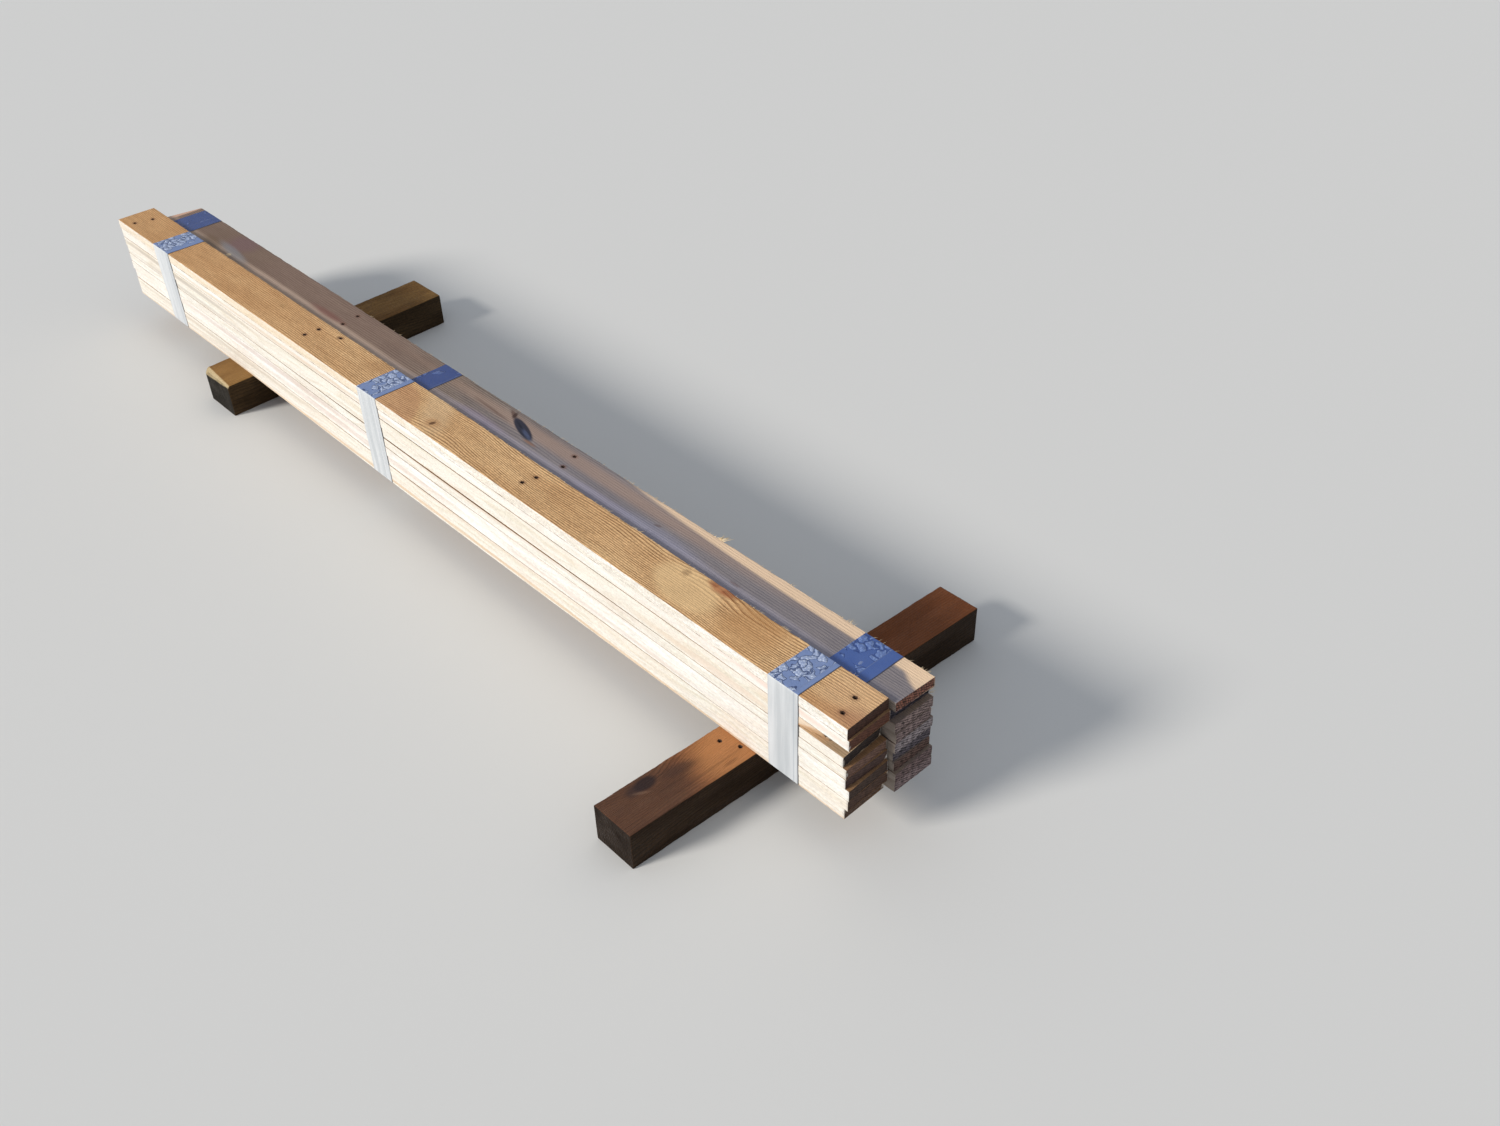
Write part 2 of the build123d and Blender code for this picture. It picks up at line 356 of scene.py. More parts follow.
    # Nothing goes below the underside
    parts = add(tree, PART, None, [add(tree, "GeometryNodeInputPosition")])
    under = add(tree, PART, None, [given["Far left"]])
    under = add(tree, MATH, MINUS, [under.outputs[2], given["Sag"]])
    under = add(tree, MATH, LARGER, [parts.outputs[2], under])
    place = add(tree, JOIN, None, [parts.outputs[0], parts.outputs[1], under])
    resting = add(tree, "GeometryNodeSetPosition", None, {"Geometry": carved, "Position": place})
    smooth = add(tree, "GeometryNodeSetShadeSmooth", None, {"Geometry": resting, "Shade Smooth": True})
    end_tree(tree, smooth, given["Material"])
    return tree


def ridges(tree, noise, width, height, where):
    """Ridges where a noise passes its middle value: how wide they are in that noise, how high, and a mask."""
    return chain(
        tree, noise, (MATH, MINUS, 0.5), (MATH, SIZE), (RANGE, None, 0.0, width, 1.0, 0.0),
        (MATH, POWER, 2.0), (MATH, TIMES, height), (MATH, TIMES, where))


def tape_tree():
    """A loop of duct tape: two turns a little apart, with creases on the sides and wrinkles on top."""
    tree, given = new_tree("GeometryNodeTree", "Taped loop", [
        ("Edge", "Float", 0.0), ("Width", "Float", 0.05), ("Shift", "Float", 0.01), ("Turn", "Float", 0.0003),
        ("Left", "Float", 0.0), ("Right", "Float", 0.08), ("Bottom", "Float", 0.07), ("Top", "Float", 0.24),
        ("Corner", "Float", 0.002), ("Cells round", "Int", 300), ("Cells across", "Int", 28),
        ("Crease", "Float", 0.0), ("Wrinkle", "Float", 0.0), ("Wander", "Float", 0.0), ("Fan", "Float", 0.0),
        ("Sag", "Float", 0.0), ("Joint pitch", "Float", 0.019), ("Joint dip", "Float", 0.00006),
        ("Lifted edge", "Float", 0.0), ("Seed", "Float", 0.0), ("Material", "Material", None),
    ], [("Geometry", "Geometry")])
    # The path round the pack
    width = add(tree, MATH, MINUS, [given["Right"], given["Left"]])
    height = add(tree, MATH, MINUS, [given["Top"], given["Bottom"]])
    centre_y, centre_z = (
        add(tree, MATH, TIMES, [
            add(tree, MATH, PLUS, [given[low], given[high]]), 0.5])
        for low, high in (("Left", "Right"), ("Bottom", "Top")))
    ring = add(tree, "GeometryNodeCurvePrimitiveQuadrilateral", None, {"Width": width, "Height": height})
    ring = add(tree, "GeometryNodeFilletCurve", None, {
        "Curve": ring, "Radius": given["Corner"], "Limit Radius": True})
    ring.mode = "POLY"
    ring.inputs["Count"].default_value = 5

    # A sheet whose second direction goes over the tape and back under it
    points = [add(tree, MATH, PLUS, [given[key], 1.0]) for key in ("Cells round", "Cells across")]
    sheet = add(tree, "GeometryNodeMeshGrid", None, {
        "Size X": 1.0, "Size Y": 1.0, "Vertices X": points[0], "Vertices Y": points[1]})
    parts = add(tree, PART, None, [add(tree, "GeometryNodeInputPosition")])
    round_share = add(tree, MATH, PLUS, [parts.outputs[0], 0.5])
    step = chain(tree, parts.outputs[1], (MATH, PLUS, 0.5), (MATH, TIMES, given["Cells across"]))
    last = add(tree, MATH, MINUS, [given["Cells across"], 3.0])
    before = add(tree, MATH, MINUS, [last, 1.0])
    full = add(tree, MATH, PLUS, [given["Width"], given["Shift"]])
    inner = add(tree, MATH, MINUS, [full, 0.0004])
    pieces = [
        add(tree, RANGE, None, [step, 0.0, 1.0, 0.0, 0.0002]),
        add(tree, RANGE, None, [step, 1.0, before, 0.0, inner]),
        add(tree, RANGE, None, [step, before, last, 0.0, 0.0002]),
    ]
    across = chain(tree, pieces[0], (MATH, PLUS, pieces[1]), (MATH, PLUS, pieces[2]))
    back = add(tree, RANGE, None, [step, last, given["Cells across"], 0.0, full])
    across = add(tree, MATH, MINUS, [across, back])
    up = add(tree, RANGE, None, [step, 0.0, 1.0, 0.0, 1.0])
    down = add(tree, RANGE, None, [step, before, last, 0.0, 1.0])
    outer = add(tree, MATH, MINUS, [up, down])

    # The second turn lies over the first from its own edge on
    shift_end = add(tree, MATH, PLUS, [given["Shift"], 0.0012])
    width_end = add(tree, MATH, PLUS, [given["Width"], 0.0012])
    second = add(tree, RANGE, None, [across, given["Shift"], shift_end, 0.0, 1.0])
    first_over = add(tree, RANGE, None, [across, given["Width"], width_end, 0.0, 1.0])
    layers = chain(tree, second, (MATH, MINUS, first_over), (MATH, PLUS, 1.0))
    lift = add(tree, MATH, TIMES, [layers, given["Turn"]])

    # Where the sheet's point lies on the path, and which way is out
    sample = add(tree, "GeometryNodeSampleCurve", {"mode": "FACTOR", "use_all_curves": True}, {
        "Curves": ring, "Factor": round_share})
    path = add(tree, PART, None, [sample.outputs["Position"]])
    heading = add(tree, PART, None, [sample.outputs["Tangent"]])
    less = add(tree, MATH, TIMES, [heading.outputs[0], -1.0])
    out = add(tree, JOIN, None, {1: heading.outputs[1], 2: less})
    out = add(tree, VECTOR, {"operation": "NORMALIZE"}, [out])
    out_parts = add(tree, PART, None, [out])
    on_top = add(tree, RANGE, None, [out_parts.outputs[2], 0.7, 0.98, 0.0, 1.0])
    on_side = chain(tree, out_parts.outputs[1], (MATH, SIZE), (RANGE, None, 0.7, 0.98, 0.0, 1.0))
    place_y = add(tree, MATH, PLUS, [path.outputs[0], centre_y])
    place_z = add(tree, MATH, PLUS, [path.outputs[1], centre_z])

    # The tape wanders a little, and fans out over the top
    seeded = add(tree, JOIN, None, [given["Seed"], place_y, place_z])
    wander = add(tree, NOISE, None, {"Vector": seeded, "Scale": 14.0, "Detail": 1.0})
    wander = chain(tree, wander, (MATH, MINUS, 0.5), (MATH, TIMES, given["Wander"]))
    middle = chain(tree, across, (MATH, OVER, full), (MATH, MINUS, 0.5))
    rise = add(tree, RANGE, SMOOTH, [place_z, given["Bottom"], given["Top"], 0.0, given["Fan"]])
    fan = add(tree, MATH, TIMES, [middle, rise])
    place_x = across
    for shift in (given["Edge"], wander, fan):
        place_x = add(tree, MATH, PLUS, [place_x, shift])

    # Long creases on the sides, wrinkles on the top, and a dip at each joint between studs
    crease = add(tree, JOIN, None, [place_x, given["Seed"], place_z])
    crease = stretched_noise(tree, crease, (190.0, 1.0, 9.0), 2.0)
    crease = ridges(tree, crease, 0.09, given["Crease"], on_side)
    wrinkle = add(tree, JOIN, None, [place_x, place_y, given["Seed"]])
    wrinkle = stretched_noise(tree, wrinkle, (85.0, 55.0, 1.0), 2.0, 0.8)
    wrinkle = ridges(tree, wrinkle, 0.1, given["Wrinkle"], on_top)
    joint = chain(
        tree, place_z, (MATH, MINUS, given["Bottom"]), (MATH, OVER, given["Joint pitch"]),
        (MATH, TIMES, math.pi), (MATH, {"operation": "COSINE"}), (MATH, POWER, 20.0),
        (MATH, TIMES, given["Joint dip"]), (MATH, TIMES, on_side))
    lift = chain(
        tree, lift, (MATH, PLUS, crease), (MATH, PLUS, wrinkle), (MATH, MINUS, joint), (MATH, TIMES, outer))

    # The edge nearest the studs' near end stands off the wood
    loose_from = add(tree, MATH, MINUS, [full, 0.005])
    loose = chain(
        tree, across, (RANGE, SMOOTH, loose_from, full, 0.0, given["Lifted edge"]), (MATH, TIMES, on_top))
    lift = add(tree, MATH, PLUS, [lift, loose])

    # The bottom of the loop follows the studs where they sag
    drop = chain(
        tree, place_z, (RANGE, None, given["Bottom"], given["Top"], 1.0, 0.0), (MATH, TIMES, given["Sag"]))
    place_z = add(tree, MATH, MINUS, [place_z, drop])
    place = add(tree, JOIN, None, [place_x, place_y, place_z])
    lifted = add(tree, VECTOR, SCALED, {0: out, "Scale": lift})
    place = add(tree, VECTOR, PLUS, [place, lifted])

    # How far each point is from the near edge, and from the edge of the second turn, for the material
    to_edge = add(tree, MATH, MINUS, [full, across])
    to_turn = add(tree, MATH, MINUS, [across, given["Width"]])
    edges = add(tree, JOIN, None, [to_edge, to_turn])
    flat = add(tree, "GeometryNodeStoreNamedAttribute", {"data_type": "FLOAT_VECTOR", "domain": "POINT"}, {
        "Geometry": sheet, "Name": "tape_edges", "Value": edges})
    wrapped = add(tree, "GeometryNodeSetPosition", None, {"Geometry": flat, "Position": place})
    closed = add(tree, "GeometryNodeMergeByDistance", None, {"Geometry": wrapped, "Distance": 0.00001})
    smooth = add(tree, "GeometryNodeSetShadeSmooth", None, {"Geometry": closed, "Shade Smooth": True})
    cut = add(tree, MATH, {"operation": "GREATER_THAN"}, [add(tree, "GeometryNodeInputMeshEdgeAngle"), 0.5])
    sharp = add(tree, "GeometryNodeSetShadeSmooth", {"domain": "EDGE"}, {
        "Geometry": smooth, "Selection": cut, "Shade Smooth": False})
    end_tree(tree, sharp, given["Material"])
    return tree


def rain_tree():
    """Flat irregular beads of rain on a level top, between two corners."""
    tree, given = new_tree("GeometryNodeTree", "Rain beads", [
        ("Middle", "Vector", None), ("Long", "Float", 0.07), ("Wide", "Float", 0.05),
        ("Apart", "Float", 0.005),
        ("Crowd", "Float", 9000.0), ("Smallest", "Float", 0.001), ("Largest", "Float", 0.004),
        ("Flatness", "Float", 0.35), ("Uneven", "Float", 0.003), ("Seed", "Int", 0),
        ("Material", "Material", None),
    ], [("Geometry", "Geometry")])
    ground = add(tree, "GeometryNodeMeshGrid", None, {
        "Size X": given["Long"], "Size Y": given["Wide"], "Vertices X": 2, "Vertices Y": 2})
    ground = add(tree, "GeometryNodeTransform", None, {"Geometry": ground, "Translation": given["Middle"]})
    spots = add(tree, "GeometryNodeDistributePointsOnFaces", {"distribute_method": "POISSON"}, {
        "Mesh": ground, "Distance Min": given["Apart"], "Density Max": given["Crowd"], "Seed": given["Seed"]})
    bead = add(tree, "GeometryNodeMeshUVSphere", None, {"Segments": 16, "Rings": 8, "Radius": 1.0})
    share = add(tree, "FunctionNodeRandomValue", {"data_type": "FLOAT"}, {"Seed": given["Seed"]})
    share = add(tree, MATH, POWER, [share.outputs[1], 2.2])
    radius = add(tree, RANGE, None, [share, 0.0, 1.0, given["Smallest"], given["Largest"]])
    low = add(tree, MATH, TIMES, [radius, given["Flatness"]])
    size = chain(tree, radius, (MATH, TIMES, 1.35), (JOIN, None, radius, low))
    turned = add(tree, "FunctionNodeRandomValue", {"data_type": "FLOAT"}, {
        3: 6.28, "Seed": given["Seed"], "ID": add(tree, "GeometryNodeInputIndex")})
    turned = add(tree, JOIN, None, {2: turned.outputs[1]})
    beads = add(tree, "GeometryNodeInstanceOnPoints", None, {
        "Points": spots, "Instance": bead, "Rotation": turned, "Scale": size})
    solid = add(tree, "GeometryNodeRealizeInstances", None, [beads])
    here = add(tree, "GeometryNodeInputPosition")
    push = add(tree, NOISE, None, {"Vector": here, "Scale": 210.0, "Detail": 1.0})
    push = chain(
        tree, push.outputs["Color"], (VECTOR, MINUS, (0.5, 0.5, 0.5)), (VECTOR, TIMES, (1.0, 1.0, 0.0)))
    push = add(tree, VECTOR, SCALED, {0: push, "Scale": given["Uneven"]})
    pushed = add(tree, "GeometryNodeSetPosition", None, {"Geometry": solid, "Offset": push})
    smooth = add(tree, "GeometryNodeSetShadeSmooth", None, {"Geometry": pushed, "Shade Smooth": True})
    end_tree(tree, smooth, given["Material"])
    return tree


def sliver_tree():
    """Torn slivers along an arris: thin tapering fibres that stand out of the wood at odd angles."""
    tree, given = new_tree("GeometryNodeTree", "Torn slivers", [
        ("From", "Vector", None), ("To", "Vector", None), ("Count", "Int", 30), ("Shortest", "Float", 0.004),
        ("Longest", "Float", 0.014), ("Thickness", "Float", 0.0005), ("Lean from", "Vector", None),
        ("Lean to", "Vector", None), ("Scatter", "Float", 0.001), ("Seed", "Int", 0),
        ("Material", "Material", None),
    ], [("Geometry", "Geometry")])
    line = add(tree, "GeometryNodeMeshLine", {"mode": "OFFSET"}, {
        "Count": given["Count"], "Offset": (0.0, 0.0, 0.0)})
    index = add(tree, "GeometryNodeInputIndex")
    share = add(tree, "FunctionNodeRandomValue", {"data_type": "FLOAT"}, {"ID": index, "Seed": given["Seed"]})
    spot = add(tree, MIX, VECTORS, {0: share.outputs[1], 4: given["From"], 5: given["To"]})
    off = add(tree, "FunctionNodeRandomValue", {"data_type": "FLOAT_VECTOR"}, {
        "Min": (-1.0, -1.0, -1.0), "ID": index, "Seed": given["Seed"]})
    off = add(tree, VECTOR, SCALED, {0: off.outputs[0], "Scale": given["Scatter"]})
    spot = add(tree, VECTOR, PLUS, [spot.outputs[1], off])
    placed = add(tree, "GeometryNodeSetPosition", None, {"Geometry": line, "Position": spot})
    sliver = add(tree, "GeometryNodeMeshCone", None, {
        "Vertices": 5, "Side Segments": 3, "Radius Top": 0.05, "Radius Bottom": 1.0, "Depth": 1.0})
    size = add(tree, "FunctionNodeRandomValue", {"data_type": "FLOAT"}, {"ID": index, "Seed": given["Seed"]})
    tree.links.new(given["Shortest"], size.inputs[2])
    tree.links.new(given["Longest"], size.inputs[3])
    scale = add(tree, JOIN, None, [given["Thickness"], given["Thickness"], size.outputs[1]])
    turn = add(tree, "FunctionNodeRandomValue", {"data_type": "FLOAT_VECTOR"}, {
        "Min": given["Lean from"], "Max": given["Lean to"], "ID": index, "Seed": given["Seed"]})
    slivers = add(tree, "GeometryNodeInstanceOnPoints", None, {
        "Points": placed, "Instance": sliver, "Rotation": turn.outputs[0], "Scale": scale})
    smooth = add(tree, "GeometryNodeSetShadeSmooth", None, {"Geometry": slivers, "Shade Smooth": True})
    end_tree(tree, smooth, given["Material"])
    return tree


# Materials


def new_material(name):
    """Starts a material and returns it with its tree and its shader."""
    material = bpy.data.materials.new(name)
    material.use_nodes = True
    return material, material.node_tree, material.node_tree.nodes["Principled BSDF"]


def sawn_wood_pattern():
    """Grain of a sawn softwood, all in millimetres on the board.

    The growth rings are rings round a pith that wanders below the board, so they run as long lines and
    pointed arches on the faces and as arcs on the ends. Torn fibres are streaks under a millimetre wide.
    """
    tree, given = new_tree("ShaderNodeTree", "Sawn wood pattern", [
        ("Place", "Vector", None), ("Seed", "Float", 0.0), ("Pith across", "Float", 40.0),
        ("Pith depth", "Float", 60.0), ("Wander", "Float", 40.0), ("Ring pitch", "Float", 3.2),
        ("Early wood", "Color", None), ("Late wood", "Color", None), ("Tint", "Color", None),
        ("Contrast", "Float", 0.5), ("Knot", "Float", 0.0), ("Uneven", "Float", 0.13),
        ("Saw marks", "Float", 0.0),
    ], [("Color", "Color"), ("Height", "Float"), ("Fibre", "Float"), ("Blotch", "Float")])
    seeded = add(tree, VECTOR, TIMES, [add(tree, JOIN, None, [given["Seed"]] * 3), (17.0, 31.0, 7.0)])
    spot = add(tree, VECTOR, PLUS, [given["Place"], seeded])
    slow = stretched_noise(tree, spot, (1 / 260, 1 / 70, 1 / 70), 2.0)
    slow = chain(
        tree, slow.outputs["Color"], (VECTOR, MINUS, (0.5, 0.5, 0.5)), (VECTOR, TIMES, (0.0, 16.0, 16.0)))
    quick = stretched_noise(tree, spot, (1 / 45, 1 / 14, 1 / 14), 2.0)
    quick = chain(
        tree, quick.outputs["Color"], (VECTOR, MINUS, (0.5, 0.5, 0.5)), (VECTOR, TIMES, (0.0, 1.1, 1.1)))
    warped = chain(tree, given["Place"], (VECTOR, PLUS, slow), (VECTOR, PLUS, quick))
    parts = add(tree, PART, None, [warped])
    wander = add(tree, MATH, TIMES_PLUS, [parts.outputs[0], 1 / 420, given["Seed"]])
    wander = add(tree, NOISE, {"noise_dimensions": "1D"}, {"W": wander, "Scale": 1.0, "Detail": 1.0})
    wander = chain(tree, wander, (MATH, MINUS, 0.5), (MATH, TIMES_PLUS, given["Wander"], given["Pith depth"]))
    from_pith = add(tree, MATH, MINUS, [parts.outputs[1], given["Pith across"]])
    over_pith = add(tree, MATH, PLUS, [parts.outputs[2], wander])
    radius = add(tree, JOIN, None, {1: from_pith, 2: over_pith})
    radius = add(tree, VECTOR, LENGTH, [radius])
    radius = add(tree, MATH, PLUS, [radius.outputs["Value"], given["Knot"]])
    ring = chain(tree, radius, (MATH, OVER, given["Ring pitch"]), (MATH, {"operation": "FRACT"}))
    darker = add(tree, RANGE, None, [ring, 0.4, 0.8, 0.0, 1.0])
    lighter = add(tree, RANGE, None, [ring, 0.88, 1.0, 1.0, 0.0])
    late = add(tree, MATH, TIMES, [darker, lighter])
    faded = stretched_noise(tree, spot, (1 / 55, 1 / 9, 1 / 9), 3.0)
    faded = add(tree, RANGE, None, [faded, 0.32, 0.62, 0.5, 1.0])
    late = add(tree, MATH, TIMES, [late, faded])
    # The torn grain is specks about 3 by 1.5 mm, drawn 5 by 2.6 mm so that they show
    grit = stretched_noise(tree, spot, (1 / 5, 1 / 2.6, 1 / 2.6), 2.0)
    grit = add(tree, RANGE, None, [grit, 0.32, 0.68, -1.0, 1.0])
    depth = add(tree, MATH, TIMES_PLUS, [given["Saw marks"], 0.11, 0.06])
    grit = add(tree, MATH, TIMES_PLUS, [grit, depth, 1.0])
    fibre = stretched_noise(tree, spot, (1 / 28, 1 / 0.9, 1 / 0.9), 3.0)
    fleck = stretched_noise(tree, spot, (1 / 11, 1 / 1.1, 1 / 1.1), 2.0)
    fleck = add(tree, RANGE, None, [fleck, 0.64, 0.76, 0.0, 0.55])
    blotch = stretched_noise(tree, spot, (1 / 150, 1 / 30, 1 / 30), 3.0)
    blotch = add(tree, RANGE, None, [blotch, 0.36, 0.64, 0.0, 1.0])
    colour = add(tree, MIX, COLOURS, {0: blotch, 6: given["Early wood"], 7: given["Tint"]})
    share = add(tree, MATH, TIMES, [late, given["Contrast"]])
    colour = add(tree, MIX, COLOURS, {0: share, 6: colour.outputs[2], 7: given["Late wood"]})
    colour = add(tree, MIX, COLOURS, {0: fleck, 6: colour.outputs[2], 7: given["Late wood"]})
    low = add(tree, MATH, MINUS, [1.0, given["Uneven"]])
    high = add(tree, MATH, TIMES_PLUS, [given["Uneven"], 0.8, 1.0])
    light = chain(tree, fibre, (RANGE, None, 0.3, 0.7, low, high), (MATH, TIMES, grit))
    # The saw left marks across the grain about 1.3 mm apart, drawn 2.4 mm apart so that they show
    wobble = stretched_noise(tree, spot, (1 / 26, 1 / 10, 1 / 10), 2.0)
    wobble = add(tree, MATH, TIMES, [wobble, 7.0])
    saw_pitch = 2.4
    parts = add(tree, PART, None, [given["Place"]])
    saw = chain(
        tree, parts.outputs[1], (MATH, TIMES_PLUS, 0.3, parts.outputs[0]), (MATH, PLUS, wobble),
        (MATH, TIMES, 2 * math.pi / saw_pitch), (MATH, SINE))
    rougher = stretched_noise(tree, spot, (1 / 70, 1 / 26, 1 / 26), 2.0)
    rougher = add(tree, RANGE, None, [rougher, 0.4, 0.6, 0.25, 1.0])
    saw = chain(tree, saw, (MATH, TIMES, rougher), (MATH, TIMES, given["Saw marks"]))
    sawn = add(tree, MATH, TIMES_PLUS, [saw, 0.11, 1.0])
    light = add(tree, MATH, TIMES, [light, sawn])
    light = add(tree, JOIN, None, [light] * 3)
    colour = add(tree, VECTOR, TIMES, [colour.outputs[2], light])
    height = add(tree, MATH, TIMES_PLUS, [late, 0.5, fibre])
    height = add(tree, MATH, TIMES_PLUS, [grit, 1.2, height])
    height = add(tree, MATH, TIMES_PLUS, [saw, 0.35, height])
    add(tree, "NodeGroupOutput", None, [colour, height, fibre, blotch])
    return tree


def board_place(tree, corner, along_y=False):
    """Gives a point's place on its board in millimetres: along it, across it and up it."""
    parts = add(tree, PART, None, [add(tree, "ShaderNodeTexCoord").outputs["Object"]])
    if along_y:
        turned = add(tree, MATH, TIMES, [parts.outputs[0], -1.0])
        place = add(tree, JOIN, None, [parts.outputs[1], turned, parts.outputs[2]])
        start = (corner[1], -corner[0], corner[2])
    else:
        place = add(tree, JOIN, None, {k: parts.outputs[k] for k in range(3)})
        start = corner
    return add(tree, "ShaderNodeMapping", None, {
        "Vector": place, "Scale": (1000.0, 1000.0, 1000.0), "Location": tuple(-1000.0 * c for c in start)})


def face_masks(tree, end_axis):
    """Tells a timber's ends, its sides and its right side from its top, by the way the surface faces."""
    facing = add(tree, PART, None, [add(tree, "ShaderNodeNewGeometry").outputs["Normal"]])
    masks = []
    for axis in (end_axis, 1 - end_axis):
        size = add(tree, MATH, SIZE, [facing.outputs[axis]])
        masks.append(add(tree, RANGE, SMOOTH, [size, 0.5, 0.86]))
    masks.append(add(tree, RANGE, SMOOTH, [
        facing.outputs[1 - end_axis], 0.5, 0.86]))
    return masks


def face_colours(tree, masks, faces):
    """Chooses each colour of the pattern by face.

    faces holds (early wood, late wood, tint) for the top, the sides and the end, and may hold them for the
    right side.
    """
    chosen = []
    for kind in range(3):
        top, side, end = (face[kind] for face in faces[:3])
        colour = add(tree, MIX, COLOURS, {0: masks[1], 6: (*linear(top), 1.0), 7: (*linear(side), 1.0)})
        if len(faces) > 3:
            colour = add(tree, MIX, COLOURS, {
                0: masks[2], 6: colour.outputs[2], 7: (*linear(faces[3][kind]), 1.0)})
        chosen.append(add(tree, MIX, COLOURS, {
            0: masks[0], 6: colour.outputs[2], 7: (*linear(end), 1.0)}).outputs[2])
    return chosen


def patch(tree, place, middle, half, turn=0.0, soft=0.35):
    """A soft-edged oval on a board's face, 1 inside and 0 outside, in millimetres and degrees."""
    shifted = add(tree, VECTOR, MINUS, [place, (middle[0], middle[1], 0.0)])
    turned = add(tree, "ShaderNodeVectorRotate", {"rotation_type": "Z_AXIS"}, {
        "Vector": shifted, "Angle": math.radians(turn)})
    reach = chain(tree, turned, (VECTOR, TIMES, (1 / half[0], 1 / half[1], 0.0)), (VECTOR, LENGTH))
    return add(tree, RANGE, SMOOTH, [reach.outputs["Value"], 1.0 - soft, 1.0 + soft, 1.0, 0.0])


def paint(tree, colour, mask, code, strength=1.0):
    """Mixes a colour over another where a mask is."""
    share = add(tree, MATH, TIMES, [mask, strength])
    return add(tree, MIX, COLOURS, {0: share, 6: colour, 7: (*linear(code), 1.0)}).outputs[2]


def top_mask(tree, masks):
    """Tells a timber's top from its ends and its sides."""
    beside = add(tree, MATH, LARGER, [masks[0], masks[1]])
    return add(tree, MATH, MINUS, [1.0, beside])


def paint_marks(tree, colour, place, marks, where):
    """Paints marks over a colour: a mark holds its middle, half size, turn, softness, colour and strength."""
    for *oval, code, strength in marks:
        mask = add(tree, MATH, TIMES, [patch(tree, place, *oval), where])
        colour = paint(tree, colour, mask, code, strength)
    return colour


def ring_push(tree, place, knots):
    """Adds up how far the knots push the growth rings aside: each has a middle, a half size and a push."""
    total = 0.0
    for middle, half, push in knots:
        near = patch(tree, place, middle, half, 0.0, 1.0)
        total = add(tree, MATH, TIMES_PLUS, [near, push, total])
    return total


def on_wane(tree, place, start, normal):
    """Finds the slanting face that a missing arris leaves, with streaks along it: 1 on it and 0 off it."""
    spot = add(tree, "ShaderNodeTexCoord").outputs["Object"]
    over = chain(tree, spot, (VECTOR, MINUS, start), (VECTOR, {"operation": "DOT_PRODUCT"}, normal))
    face = add(tree, RANGE, None, [over.outputs["Value"], -0.0016, -0.0005])
    streak = stretched_noise(tree, place, (1 / 40, 1 / 2.4, 1 / 2.4), 3.0)
    streak = add(tree, RANGE, None, [streak, 0.35, 0.65, 0.6, 1.0])
    return add(tree, MATH, TIMES, [face, streak])


def grain(tree, place, masks, look):
    """Adds the sawn wood pattern with a timber's own colours, rings and knots."""
    early, late, tint = face_colours(tree, masks, look["faces"])
    pith_across, pith_depth, wander = look["pith"]
    return add(tree, "ShaderNodeGroup", {"node_tree": bpy.data.node_groups["Sawn wood pattern"]}, {
        "Place": place, "Seed": look["seed"], "Knot": ring_push(tree, place, look["knots"]),
        "Pith across": pith_across, "Pith depth": pith_depth, "Wander": wander,
        "Ring pitch": look["ring"], "Contrast": look["contrast"], "Uneven": look["uneven"],
        "Saw marks": look["saw"], "Early wood": early, "Late wood": late, "Tint": tint})


def finish_wood(tree, shader, colour, height, roughness, depth, shine):
    """Links colour, relief and roughness to a wood's shader. Torn grain shines little."""
    shader.inputs["Specular IOR Level"].default_value = shine
    bump = add(tree, "ShaderNodeBump", None, {"Height": height, "Distance": depth, "Strength": 0.8})
    tree.links.new(colour, shader.inputs["Base Color"])
    tree.links.new(bump.outputs[0], shader.inputs["Normal"])
    tree.links.new(roughness.outputs[0], shader.inputs["Roughness"])


